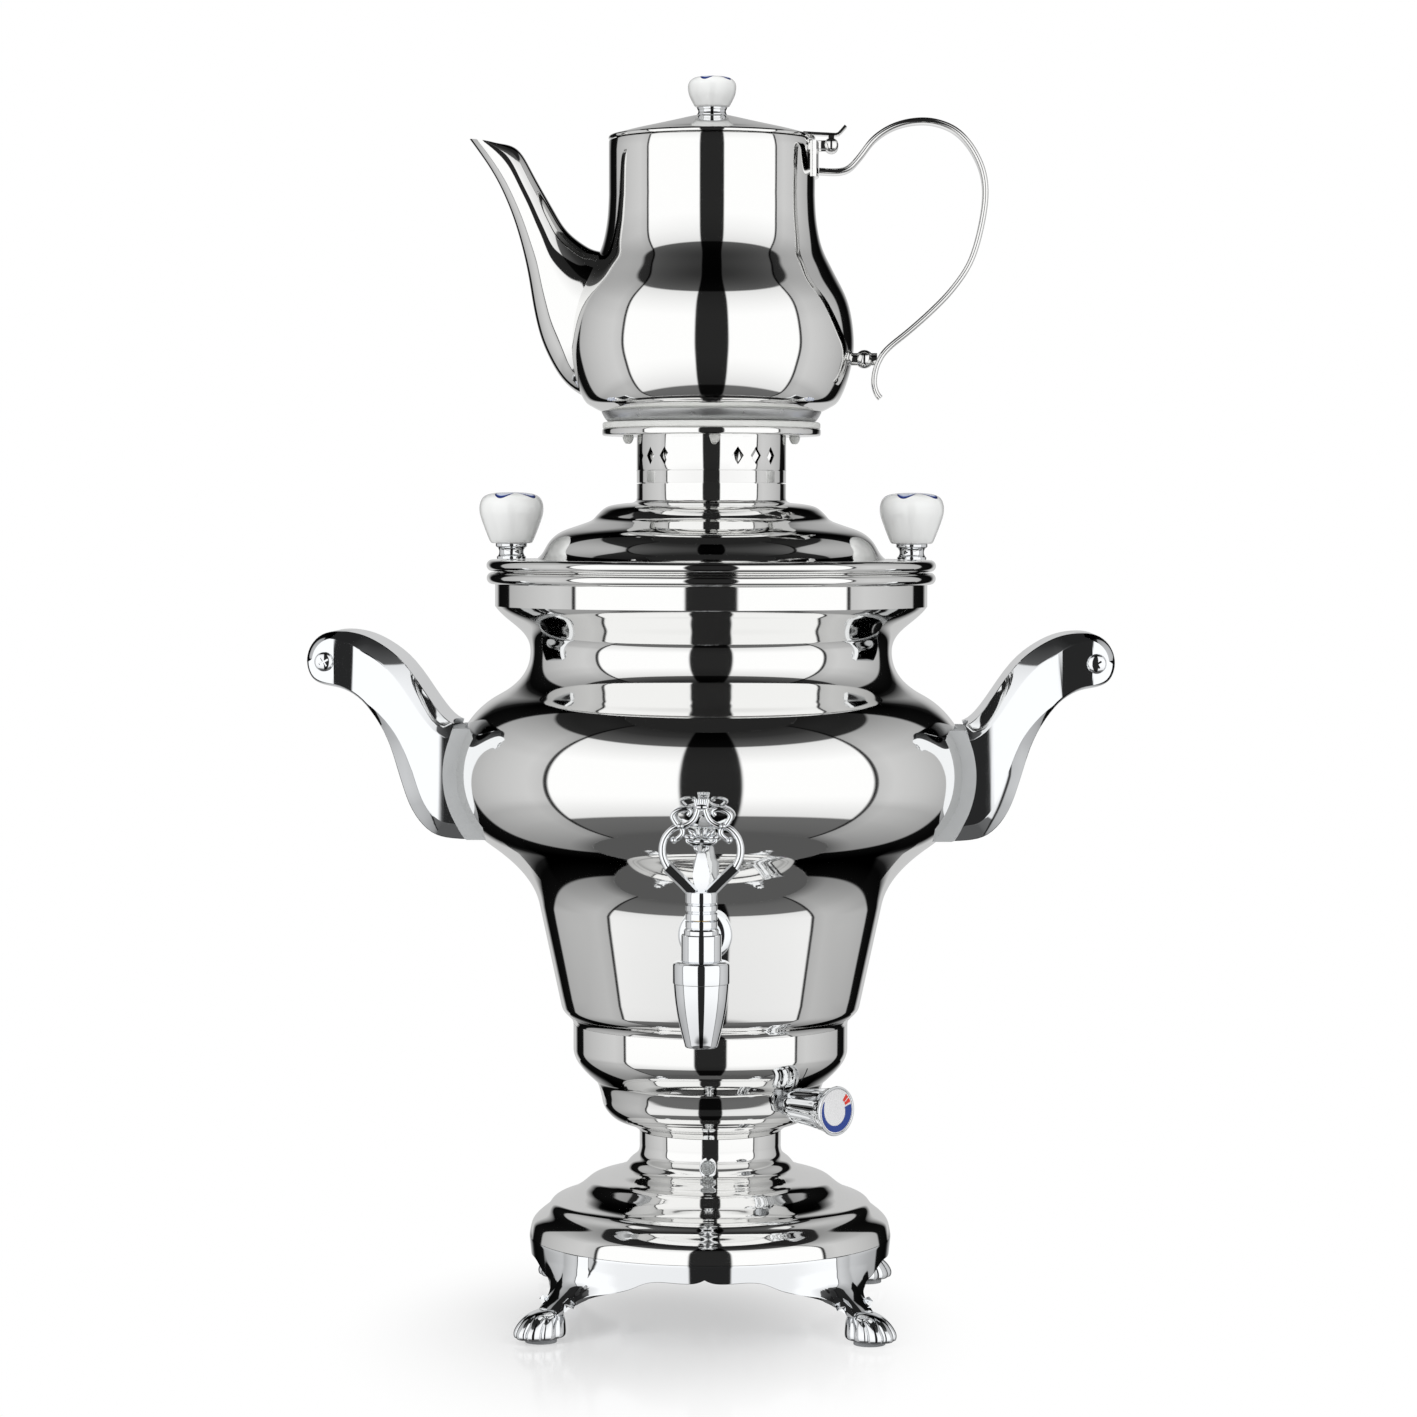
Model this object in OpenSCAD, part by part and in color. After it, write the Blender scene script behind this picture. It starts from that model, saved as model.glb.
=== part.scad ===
// Electric samovar: an urn on a plinth with paw feet, a tap, a thermostat, a lid with a
// gallery ring and a hinged-lid teapot that stands on the ring to keep warm.
// Millimetres. +Z is up, the tap faces -Y, the teapot's handle faces +X, and the origin
// is on the ground at the urn's axis. Everything is stacked upwards from the foot pads.

/* [Feet] */
// Thickness of the rubber pads under the paws
pad_h = 2; // [1:0.5:4]
// Diameter of a foot pad
pad_d = 13; // [11:1:16]
// Distance of the pads' circle outside the plinth's seam
pad_out = 18.3; // [14:0.1:23]
// Width of a paw
paw_w = 19; // [16:1:24]
// Height of a paw
paw_h = 12; // [10:1:14]
// Length of a paw from heel to toe
paw_l = 25; // [22:1:30]
// Width of a leg at the ankle
ankle_w = 10; // [7:1:12]

/* [Plinth] */
// Height of the seam between plinth and dome above the ground
seam_z = 33.2; // [31:0.2:38]
// Radius of the plinth at the seam
seam_r = 76.2; // [74:0.2:79]
// Wall of the cast plinth
plinth_wall = 2; // [1.5:0.1:3]
// Height of the scalloped edge above the ground, at the middle of a side
scallop_z = 27; // [25:0.2:27.2]

/* [Urn stack] */
// Wall of the pressed steel shells
wall = 0.8; // [0.6:0.1:1.2]
// Height of the flared base dome
dome_h = 39; // [36:0.5:44]
// Height of the dome's neck
neck_h = 5.1; // [4:0.1:8]
// Radius of the dome's neck
neck_r = 29.8; // [28:0.2:33]
// Height of the thermostat bowl
bowl_h = 21.7; // [21:0.1:26]
// Radius of the thermostat bowl at its joint with the cup
bowl_r = 49.1; // [48:0.1:51]
// Height of the cup under the urn
cup_h = 23.6; // [22:0.2:28]
// Radius of the cup
cup_r = 57.75; // [56:0.25:60]

/* [Urn] */
// Height of the flange that the cone stands on
foot_flange_h = 7.6; // [6:0.2:10]
// Radius of the cone's lower end
cone_r = 62.8; // [61:0.2:65]
// Height of the cone
cone_h = 42.8; // [40:0.2:48]
// Radius of the cone's upper end
cone_top_r = 72; // [70:0.5:74]
// Radius of the belly
belly_r = 108.4; // [106:0.2:111]
// Radius of the belly's meridian arc
belly_arc = 36.8; // [34:0.2:38]
// Height of the belly's middle above the cone
belly_up = 55.5; // [53:0.5:58]
// Radius of the waist under the collar
waist_r = 75.8; // [73:0.2:80]
// Height of the waist above the belly's middle
waist_up = 50.8; // [49:0.2:54]
// Radius of the collar
collar_r = 90.6; // [89:0.1:93]
// Height of the collar's lower edge above the waist
collar_up = 18.9; // [17:0.1:22]
// Height of the collar
collar_h = 9.2; // [7:0.2:12]
// Diameter of the rolled rims
bead_d = 5; // [4:0.1:6]

/* [Lid] */
// Gap between parts that only rest on each other
rest_gap = 0.3; // [0.2:0.05:0.5]
// Height of the lid's dome above its rim
lid_h = 24; // [20:0.5:28]
// Height of the collar that carries the gallery ring
lid_collar_h = 7.9; // [6:0.1:10]
// Distance of a lid knob from the urn's axis
knob_x = 84; // [82:0.25:84.25]
// Height of a porcelain lid knob
knob_h = 21.4; // [18:0.2:26]
// Largest radius of a porcelain lid knob
knob_r = 13.7; // [12:0.1:15]
// Height of the ferrule under a lid knob
ferrule_h = 6.6; // [5:0.2:8]

/* [Gallery ring] */
// Radius of the gallery ring's wall
crown_r = 31.3; // [30:0.1:33]
// Wall of the gallery ring
crown_wall = 1.6; // [1.4:0.1:2]
// Height of the gallery ring up to its flange
crown_h = 19.7; // [18:0.1:24]
// Radius of the gallery ring's flange
crown_flange_r = 45.8; // [45:0.1:48]
// Thickness of the gallery ring's flange
crown_flange_t = 3; // [2:0.1:4]
// Width of a diamond vent
vent_w = 5.2; // [4:0.1:6]
// Height of a diamond vent
vent_h = 7.4; // [6:0.1:9]
// Thickness of the silicone seat ring
seat_t = 2.7; // [2:0.1:4]

/* [Teapot] */
// Radius of the teapot's base disc
pot_base_r = 46; // [44:0.1:47]
// Thickness of the teapot's base disc
pot_base_t = 4.1; // [3:0.1:5]
// Largest radius of the teapot
pot_r = 59.6; // [57:0.2:62]
// Height of the teapot from its base disc to its rim
pot_h = 112.8; // [106:0.2:120]
// Radius of the teapot's neck
pot_neck_r = 43.05; // [42:0.05:45]
// Height of the lid's cone above the rim
pot_lid_h = 10.4; // [9:0.1:12]
// Width of the teapot's strip handle
strip_w = 13; // [10:0.5:16]
// Thickness of the strip handle
strip_t = 2.3; // [1.8:0.1:3]
// Distance of the lid hinge from the teapot's axis
hinge_x = 49.8; // [49.4:0.1:51]
// Radius of the lid hinge's knuckles
hinge_r = 2.9; // [2.5:0.1:3.2]
// Radius of the hinge pin
pin_r = 1.2; // [1:0.05:1.4]

/* [Tap] */
// Distance of the tap's spindle from the urn's axis
tap_reach = 122; // [121.5:0.5:126]
// Height of the tap's barrel above the foot of the cone
tap_up = 37; // [34:0.2:38]
// Radius of the tap's valve block
block_r = 7.9; // [7.5:0.1:9]
// Radius of the tap's plug
plug_r = 4.5; // [4:0.1:5]
// Running clearance of plug, spindles and pins
run_gap = 0.05; // [0.03:0.01:0.08]
// Radius of the barrel's threaded tail
tail_r = 6; // [5.5:0.1:6.3]
// Length of the nozzle below its collar
nozzle_l = 24.4; // [20:0.2:28]
// Height of the tap's key above its stem
key_h = 36.5; // [32:0.5:40]

/* [Thermostat] */
// Direction of the thermostat knob, from +X
knob_turn = -45; // [-50:1:-40]
// Height of the thermostat's spindle above the bottom of the bowl
dial_up = 15.7; // [15:0.1:16]
// Distance of the knob's face from the urn's axis
dial_reach = 75.5; // [70:0.5:80]
// Radius of the knob's rim
dial_r = 10.25; // [9.5:0.05:11]
// Radius of the thermostat's spindle
spindle_r = 3; // [2.5:0.1:3.5]

/* [Side handles] */
// Half of a side handle's width
grip_y = 28; // [24:1:30]
// Wall of the handle's chromed cover
cover_wall = 2; // [1.5:0.1:2.5]
// Thickness of the insulating gasket under a side handle
gasket_t = 5.6; // [4:0.2:7]
// Distance of the nose screws from the urn's axis
nose_screw_x = 160; // [156:0.5:161]
// Half of the distance between the two fixing screws of a handle
fix_y = 14; // [10:1:16]

/* [Cable gland] */
// Bore of the cable gland
gland_bore_r = 3.6; // [3:0.1:3.8]
// Height of the cable gland above the seam
gland_up = 6.6; // [6.4:0.1:8]

/* [Hidden] */

$fn = 120;
fit = 0.1;                     // clearance of spigots, screws and other fixed fits
eps = 0.01;
legs = [45, 135, 225, 315];    // directions of the four legs
steel = "silver";
satin = "darkgray";

// Stack levels
paw_top_z = pad_h + paw_h;
ledge_t = 2;
bridge_t = 3;
cover_t = 1;
cover_z = scallop_z + 0.4;
ledge_z = cover_z + cover_t + 9.6;
bridge_z = ledge_z - bridge_t;
neck_z = seam_z + dome_h;
bowl_z = neck_z + neck_h;
cup_z = bowl_z + bowl_h;
urn_z = cup_z + cup_h;
cone_z = urn_z + foot_flange_h;
shoulder_z = cone_z + cone_h;
belly_z = shoulder_z + belly_up;
waist_z = belly_z + waist_up;
collar_z = waist_z + collar_up;
rim_z = collar_z + collar_h;
lid_z = rim_z + bead_d + rest_gap;
lid_top_z = lid_z + bead_d - 0.2;
lid_dome_z = lid_top_z + lid_h;
crown_z = lid_dome_z + lid_collar_h + rest_gap;
flange_z = crown_z + crown_h;
seat_z = flange_z + crown_flange_t;
pot_z = seat_z + seat_t + rest_gap;
pot_shell_z = pot_z + pot_base_t;
pot_rim_z = pot_shell_z + pot_h;
pot_lid_z = pot_rim_z + rest_gap;
dial_z = bowl_z + dial_up;
plate_t = 4.5;                 // heater plate

// Outline tools
function mix(a, b, t) = a + (b - a) * t;
function unit(v) = v / norm(v);
function reverse(p) = [for (i = [len(p) - 1:-1:0]) p[i]];
function bend(a, b, c, d, n) = [
    for (i = [0:n]) let (t = i / n, s = 1 - t)
        s * s * s * a + 3 * s * s * t * b + 3 * s * t * t * c + t * t * t * d];
// Smooth curve through the points p, with n spans between neighbours
function curve(p, n) = [
    for (i = [0:len(p) - 2], j = [0:i == len(p) - 2 ? n : n - 1])
        let (t = j / n,
             a = p[max(i - 1, 0)], b = p[i], c = p[i + 1], d = p[min(i + 2, len(p) - 1)])
        0.5 * (2 * b + (c - a) * t + (2 * a - 5 * b + 4 * c - d) * t * t
            + (3 * b - a - 3 * c + d) * t * t * t)];
// The open outline p moved by t to its left, its two ends moved level
function beside(p, t) = [
    for (i = [0:len(p) - 1]) let (last = len(p) - 1)
        i == 0 || i == last ? p[i] - [t, 0]
        : let (d = unit(p[i + 1] - p[i - 1])) p[i] + t * [-d.y, d.x]];
function skin(p, t) = concat(p, reverse(beside(p, t)));
// The open outline p as a ribbon of thickness t, with square ends
function ribbon(p, t) =
    let (last = len(p) - 1,
         side = [for (i = [0:last]) let (d = unit(p[min(i + 1, last)] - p[max(i - 1, 0)]))
             t / 2 * [-d.y, d.x]])
    concat([for (i = [0:last]) p[i] + side[i]], [for (i = [last:-1:0]) p[i] - side[i]]);
// The closed outline p, listed clockwise, moved inwards by t
function shrink(p, t) = [
    for (i = [0:len(p) - 1])
        let (d = unit(p[(i + 1) % len(p)] - p[(i + len(p) - 1) % len(p)]))
        p[i] + t * [d.y, -d.x]];

module spin(p) rotate_extrude() polygon(p);
module ring(r, hole, z0, z1) {
    translate([0, 0, z0]) difference() {
        cylinder(r = r, h = z1 - z0);
        translate([0, 0, -1]) cylinder(r = hole, h = z1 - z0 + 2);
    }
}
module rod(r, from, to) translate([0, 0, from]) cylinder(r = r, h = to - from);
// Rod along +X, from one distance to another
module rod_x(r, from, to) translate([from, 0, 0]) rotate([0, 90, 0]) cylinder(r = r, h = to - from);
module around(angles, r) for (a = angles) rotate([0, 0, a]) translate([r, 0, 0]) children();
// Closed solid through rings of points, each turning left round the way to the next
module loft(rings) {
    n = len(rings[0]);
    m = len(rings);
    sides = [for (j = [0:m - 2], i = [0:n - 1]) let (k = (i + 1) % n, a = j * n)
        each [[a + i, a + n + k, a + k], [a + i, a + n + i, a + n + k]]];
    ends = [[for (i = [0:n - 1]) i], [for (i = [n - 1:-1:0]) (m - 1) * n + i]];
    polyhedron([for (r = rings) each r], concat(sides, ends), convexity = 6);
}
// Round tube of radius r along the path p; up is never parallel to the path
module tube(p, r, up = [0, 1, 0], sides = 8) {
    last = len(p) - 1;
    loft([for (i = [0:last])
        let (t = unit(p[min(i + 1, last)] - p[max(i - 1, 0)]), u = unit(cross(up, t)), v = cross(t, u))
        [for (a = [0:360 / sides:359]) p[i] + r * (cos(a) * u + sin(a) * v)]]);
}
// Pan-head screw pointing along +X, with its seat at x = 0
module screw(shank_r, length, head_r, head_h) {
    rotate([0, 90, 0]) spin([[0, -head_h], [head_r * 0.6, -head_h], [head_r * 0.92, -head_h * 0.6],
        [head_r, 0], [shank_r, 0], [shank_r, length], [0, length]]);
}

// ---- Outlines of the pressed shells, from their lower to their upper edge
dome_line = concat(curve([
    [seam_r, seam_z], [seam_r - 0.6, seam_z + 4], [seam_r - 1.7, seam_z + 8.8],
    [seam_r - 6.1, seam_z + 13.8], [seam_r - 10.9, seam_z + 18.9],
    [seam_r - 14.5, seam_z + 21.4], [neck_r + 24.8, neck_z - 15.1],
    [neck_r + 18.3, neck_z - 10], [neck_r + 11.4, neck_z - 7.5], [neck_r + 4.4, neck_z - 5],
    [neck_r + 1.5, neck_z - 2.4], [neck_r, neck_z]], 4), [[neck_r, bowl_z]]);
bowl_line = curve([
    [neck_r, bowl_z], [neck_r + 3.4, bowl_z + 2.5], [bowl_r - 8.8, bowl_z + 5.2],
    [bowl_r - 4.4, bowl_z + 10], [bowl_r - 3.1, bowl_z + 15.1],
    [bowl_r - 1.6, bowl_z + 20], [bowl_r, cup_z]], 5);
cup_line = concat(
    bend([bowl_r, cup_z], [bowl_r + 3.2, cup_z + 3], [cup_r, cup_z + 7.6], [cup_r, cup_z + 13], 12),
    [[cup_r, urn_z]]);
belly_c = [belly_r - belly_arc, belly_z];
cone_dir = unit([cone_top_r - cone_r, cone_h]);
join_low = -55;               // where the belly's arc meets the shoulder
join_high = 62;               // where it meets the waist
function on_belly(a) = belly_c + belly_arc * [cos(a), sin(a)];
shoulder_k = norm(on_belly(join_low) - [cone_top_r, shoulder_z]) / 3;
waist_k = norm(on_belly(join_high) - [waist_r, waist_z]) / 2.6;
collar_k = norm([collar_r - waist_r, collar_up]) / 2.6;
urn_line = concat(
    bend([cup_r, urn_z], [cup_r + 0.4, urn_z + 3.5], [cone_r - 0.9, cone_z - 4], [cone_r, cone_z], 8),
    bend([cone_top_r, shoulder_z], [cone_top_r, shoulder_z] + shoulder_k * cone_dir,
        on_belly(join_low) - shoulder_k * [-sin(join_low), cos(join_low)], on_belly(join_low), 12),
    [for (a = [join_low + 4.5:4.5:join_high - 1]) on_belly(a)],
    bend(on_belly(join_high), on_belly(join_high) + waist_k * [-sin(join_high), cos(join_high)],
        [waist_r, waist_z - waist_k], [waist_r, waist_z], 12),
    [for (p = bend([waist_r, waist_z], [waist_r, waist_z + collar_k],
        [collar_r - 0.55 * collar_k, collar_z - 0.8 * collar_k], [collar_r, collar_z], 12))
        if (p.y > waist_z) p],
    [[collar_r, rim_z + bead_d / 2]]);
module solid_of(line, low, high)
    spin(concat([[0, low], [line[0].x, low]], line, [[line[len(line) - 1].x, high], [0, high]]));
module urn_outside() solid_of(urn_line, urn_z - 1, rim_z);
module urn_inside() {
    inner = beside(urn_line, wall);
    spin(concat([[0, inner[0].y]], inner, [[0, inner[len(inner) - 1].y]]));
}
bead_ring = collar_r + 1;      // radius of the rolled rims' middle
// Radius of an outline at the height z, between two of its points
function reach(line, z) =
    [for (i = [1:len(line) - 1]) if (line[i - 1].y <= z && line[i].y >= z)
        mix(line[i - 1].x, line[i].x, (z - line[i - 1].y) / (line[i].y - line[i - 1].y))][0];

// ---- Plinth and feet
pad_r = seam_r + pad_out;      // distance of the pads from the urn's axis
plinth_low_r = seam_r - 4.6;
plinth_low_z = paw_top_z + 2.5;
boss_r = 4;
boss_ring = seam_r - 9;       // distance of the cover's screw bosses from the axis
spigot_r = seam_r - wall - 1.5;
bay_half = 0.62 * seam_r;     // half of a bay between two legs, across the front
// Scalloped lower edge of one bay, from its middle to a leg: across, up
bay_edge = curve([
    [0, scallop_z], [6, scallop_z - 1.2], [bay_half * 0.45, scallop_z - 1.6],
    [bay_half * 0.62, scallop_z - 4], [bay_half * 0.8, scallop_z - 7.4],
    [bay_half * 0.97, scallop_z - 10], [bay_half * 1.03, paw_top_z]], 4);
module bay_cut() {
    half = concat(bay_edge, [[bay_half * 1.03, -1]]);
    outline = concat(half, [for (p = reverse(half)) [-p.x, p.y]]);
    translate([seam_r / 2, 0, 0]) rotate([90, 0, 90]) linear_extrude(seam_r) polygon(outline);
}
// Rounded leg that sweeps out of the plinth's corner and down into its paw
leg_line = curve([
    [plinth_low_r + 2.9, 0, scallop_z], [plinth_low_r + 4.4, 0, scallop_z - 5.5],
    [mix(plinth_low_r, pad_r, 0.4), 0, paw_top_z + 3],
    [mix(plinth_low_r, pad_r, 0.66), 0, paw_top_z - 0.5],
    [pad_r - 3, 0, paw_top_z - 4.5], [pad_r + 3.5, 0, pad_h + 0.42 * paw_h]], 3);
module leg() {
    last = len(leg_line) - 1;
    loft([for (i = [0:last])
        let (t = unit(leg_line[min(i + 1, last)] - leg_line[max(i - 1, 0)]),
             s = i / last,
             w = ankle_w * (0.5 + 1.3 * (1 - s) * (1 - s)), d = mix(1.9, 3.4, s),
             across = cross(t, [0, 1, 0]))
        [for (a = [0:30:359]) leg_line[i] - d * cos(a) * across + [0, w * sin(a), 0]]]);
}
module base_plinth() color(steel) difference() {
    union() {
        difference() {
            spin([[plinth_low_r, plinth_low_z], [seam_r - 1.7, seam_z - 8], [seam_r, seam_z - eps],
                [seam_r - 2 * plinth_wall, seam_z - eps], [seam_r - 2 * plinth_wall, seam_z - 4],
                [seam_r - 1.7 - plinth_wall, seam_z - 8], [plinth_low_r - plinth_wall, plinth_low_z]]);
            for (a = [0:90:270]) rotate([0, 0, a]) bay_cut();
        }
        ring(spigot_r, spigot_r - plinth_wall, seam_z - 3, ledge_z + ledge_t);
        ring(spigot_r, boss_ring - 1, ledge_z, ledge_z + ledge_t);
        around(legs, boss_ring) rod(boss_r, cover_z + cover_t, ledge_z + 1);
        for (a = legs) rotate([0, 0, a]) leg();
    }
    around(legs, boss_ring) rod(1.5 + fit, 0, ledge_z - 1);
    around(legs, pad_r) rod(2 + fit, 0, paw_top_z - 2.5);
    translate([0, 0, gland_z]) rotate([0, 0, 90]) rod_x(gland_nut_r + 1, seam_r - 12, seam_r);
}
module paw() {
    // Half widths and heights along the paw, from heel to toe
    steps = [[-0.5, 0.30, 0.55], [-0.42, 0.62, 0.82], [-0.2, 0.84, 1], [0.1, 0.96, 0.97],
        [0.3, 1, 0.8], [0.43, 0.92, 0.55], [0.5, 0.6, 0.25]];
    difference() {
        loft([for (s = steps) let (w = s[1] * paw_w / 2, h = s[2] * paw_h)
            [for (a = [0:22.5:359]) [pad_r + s[0] * paw_l, w * cos(a),
                pad_h + max(0, h * (0.35 + 0.65 * sin(a)))]]]);
        leg();
        translate([pad_r, 0, 0]) rod(2 + fit, 0, paw_top_z);
    }
}
module foot_pads() color("gray") around(legs, pad_r) ring(pad_d / 2, 4.2, 0, pad_h);
module paw_screws() color(satin) around(legs, pad_r)
    translate([0, 0, pad_h]) rotate([0, -90, 0]) screw(2, paw_h - 4, 3.8, 1.4);
module bottom_cover() color(satin) difference() {
    translate([0, 0, cover_z]) cylinder(r = plinth_inner_r - 0.5, h = cover_t);
    around(legs, boss_ring) rod(1.5 + fit, 0, seam_z);
    for (r = [18, 30, 42]) around([0:30:359], r) rod(2.2, 0, seam_z);
}
plinth_inner_r = seam_r - 1.7 - plinth_wall;
module cover_screws() color(satin) around(legs, boss_ring)
    translate([0, 0, cover_z]) rotate([0, -90, 0]) screw(1.5, 8, 2.8, 1.5);
bridge_x = spigot_r - plinth_wall - 2;
bridge_w = 24;
rod_r = 4;
module base_bridge() color(satin) difference() {
    translate([-bridge_x, -bridge_w / 2, bridge_z]) cube([2 * bridge_x, bridge_w, bridge_t]);
    rod(rod_r + fit, 0, seam_z + 20);
}
bottom_t = 1;                 // bottom plate of the urn, welded inside its foot
bottom_z = urn_z + 2.4;
module tie_rod() color(satin) rod(rod_r, bridge_z - 5.8, bottom_z);
module tie_nut() color(satin) {
    ring(8, rod_r, bridge_z - 1, bridge_z);
    difference() {
        translate([0, 0, bridge_z - 5.5]) cylinder(r = 7.5, h = 4.5, $fn = 6);
        rod(rod_r, 0, seam_z + 20);
    }
}

// ---- Base dome, gland, lamp and wiring
gland_z = seam_z + gland_up;
gland_nut_r = 6.1;
gland_wall_x = seam_r - 1.2;
module gland_at() translate([0, 0, gland_z]) rotate([0, 0, 90]) children();
lamp_z = neck_z - 5.9;
lamp_r = 3;
lamp_x = neck_r + 11.4;
module base_dome() color(steel) difference() {
    union() {
        spin(skin(dome_line, wall));
        ring(neck_r - wall / 2, neck_r - wall, neck_z, bowl_z);
    }
    gland_at() rod_x(gland_bore_r + 1.2 + fit, seam_r - 20, seam_r + 10);
    translate([0, 0, lamp_z]) rotate([0, 0, -90]) rod_x(lamp_r + fit, 10, seam_r);
}
module cable_gland() color("dimgray") difference() {
    gland_at() union() {
        rod_x(gland_bore_r + 1.2, gland_wall_x - 9, gland_wall_x);
        difference() {
            rod_x(gland_nut_r, gland_wall_x - 3, gland_wall_x + 4);
            rotate([0, 0, -90]) translate([0, 0, -gland_z])
                solid_of(dome_line, seam_z, bowl_z);
        }
        rotate([0, 90, 0]) translate([0, 0, gland_wall_x + 4])
            cylinder(r1 = gland_nut_r - 0.4, r2 = gland_bore_r + 1, h = 9);
    }
    gland_at() rod_x(gland_bore_r, seam_r - 30, seam_r + 30);
}
module pilot_lamp() color("whitesmoke") translate([0, 0, lamp_z]) rotate([0, 0, -90])
    rotate([0, 90, 0]) spin([[0, 14], [lamp_r - 0.6, 14], [lamp_r - 0.6, 24], [lamp_r, 24],
        [lamp_r, lamp_x - 2], [lamp_r - 0.8, lamp_x - 0.6], [0, lamp_x]]);
block_size = [22, 14, 11];    // terminal block
block_at = [30, 0, bridge_z + bridge_t];
module terminal_block() color("ivory") translate(block_at + [0, -block_size.y / 2, 0])
    difference() {
        cube(block_size);
        for (x = [4, 11, 18], y = [4, 10]) translate([x, y, block_size.z - 4]) cylinder(r = 1.4, h = 5);
    }
// Insulated leads, each through points chosen along its run
element_pin = [38 * sin(20), 38 * cos(20), cup_z + 7];
lead_r = 1.1;
block_top = block_at.z + block_size.z + lead_r;
leads = [
    [[38, 3, block_top], [30, 4, block_top + 6], [18, 9, neck_z - 8], [13, 14, bowl_z],
        [12, 18, cup_z - 6], [element_pin.x, element_pin.y - 3, cup_z + 3],
        [element_pin.x, element_pin.y, element_pin.z - 0.8]],
    [[44, -3, block_top], [34, -3, block_top + 7], [20, -4, neck_z - 7], [15, -6, bowl_z],
        [12.4, -10.4, bowl_z + 10], [13.2, -13.2, dial_z - 4]],
    [[11.6, -12.6, dial_z + 3], [8, -2, cup_z - 2], [-4, 20, cup_z + 2],
        [-element_pin.x, element_pin.y - 3, cup_z + 3],
        [-element_pin.x, element_pin.y, element_pin.z - 0.8]],
    [[34, -5, block_top], [28, -9, block_top + 5], [14, -12, neck_z - 12], [3, -12, lamp_z - 3],
        [0, -12.4, lamp_z]]];
module wiring() color("firebrick") for (p = leads) tube(curve(p, 4), lead_r, [0.3, -0.9, 0.2], 6);

// ---- Thermostat bowl and what is in it
dial_wall_x = reach(bowl_line, dial_z);
can_r = 9.5;
can_x = [20, dial_wall_x - 11];
bush_r = spindle_r + 1.6;
module dial_at() translate([0, 0, dial_z]) rotate([0, 0, knob_turn]) children();
module thermostat_bowl() color(steel) difference() {
    union() {
        spin(skin(bowl_line, wall));
        ring(neck_r - wall - fit, neck_r - 2 * wall - fit, neck_z + 1, bowl_z + 0.8);
        ring(neck_r - wall / 2, neck_r - 2 * wall - fit, bowl_z, bowl_z + 0.8);
        ring(bowl_r - wall - fit, bowl_r - 2 * wall - fit, cup_z - 1.2, cup_z + 2.5);
    }
    dial_at() rod_x(bush_r + fit, can_x[1], seam_r);
}
module thermostat() color("beige") dial_at() difference() {
    union() {
        rod_x(can_r, can_x[0], can_x[1]);
        rod_x(bush_r, can_x[1] - 1, dial_wall_x + 2.6);
    }
    rod_x(spindle_r + run_gap, can_x[0] + 6, dial_wall_x + 10);
}
module thermostat_nut() color(steel) dial_at() difference() {
    translate([dial_wall_x - 8.4, 0, 0]) rotate([0, 90, 0]) cylinder(r = 7, h = 3.6, $fn = 6);
    rod_x(bush_r, 0, seam_r);
}
bulb = [[-15, -20], [15, -20]];
bulb_z = bottom_z - plate_t - 3.3;
module thermostat_probe() color("peru") {
    translate([bulb[0].x, bulb[0].y, bulb_z]) rod_x(3, 0, bulb[1].x - bulb[0].x);
    out = dial_dir * (can_x[0] + 8);
    tube(curve([[bulb[1].x + 0.2, bulb[1].y, bulb_z], [20, -21, bulb_z - 1],
        [22, -21, bulb_z - 6], [out.x, out.y, dial_z + can_r + 0.6]], 4), 0.9);
}
dial_dir = [cos(knob_turn), sin(knob_turn)];

// ---- Thermostat knob, which turns on its spindle
knob_back_x = dial_wall_x + 3;
module knob_barrel() color(steel) dial_at() difference() {
    union() {
        rotate([0, 90, 0]) spin([[0, knob_back_x], [dial_r * 0.56, knob_back_x],
            [dial_r * 0.76, dial_reach - 14], [dial_r * 0.88, dial_reach - 5],
            [dial_r - 0.6, dial_reach - 2], [dial_r, dial_reach - 1.4], [dial_r, dial_reach - 0.4],
            [dial_r - 0.5, dial_reach], [0, dial_reach]]);
        rod_x(spindle_r, can_x[0] + 7, knob_back_x + 1);
    }
    rod_x(dial_r - 1.1, dial_reach - 1, dial_reach + 5);
    for (a = [0:30:359]) rotate([a, 0, 0]) translate([0, 0, dial_r * 0.92])
        rod_x(1.8, knob_back_x + 1.5, dial_reach - 5);
}
module knob_dial() color("lightgray") dial_at() rod_x(dial_r - 1.2, dial_reach - 1, dial_reach - 0.2);

// ---- Cup under the urn
module lower_cup() color(steel) {
    spin(skin(cup_line, wall));
    ring(cup_r - wall / 2, cup_r - 2 * wall - fit, urn_z - 6, urn_z);
    ring(cup_r - wall - fit, cup_r - 2 * wall - fit, urn_z - 6, bottom_z - 0.3);
}

// ---- Urn body with its heater
tap_z = cone_z + tap_up;
tap_wall_x = reach(urn_line, tap_z);
seal_t = 1.5;                  // seal between a fixing screw's head and the wall
fix_r = 2.5;
fix_l = 20;                    // length of a handle's fixing screw
fix_seat = -wall - seal_t - 1.3;
module tap_at() translate([0, 0, tap_z]) rotate([0, 0, -90]) children();
module urn_body() color(steel) difference() {
    union() {
        spin(skin(urn_line, wall));
        intersection() {
            urn_outside();
            rod(cone_r, bottom_z, bottom_z + bottom_t);
        }
        translate([0, 0, rim_z + bead_d / 2]) rotate_extrude()
            translate([bead_ring, 0]) circle(r = bead_d / 2, $fn = 32);
    }
    tap_at() rod_x(tail_r + fit, tap_wall_x - 10, tap_wall_x + 10);
    for (side = [0, 180]) rotate([0, 0, side]) handle_fixings() rod_x(fix_r + fit, -10, 20);
}
element_r = 3.2;
element_ring = 38;
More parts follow.
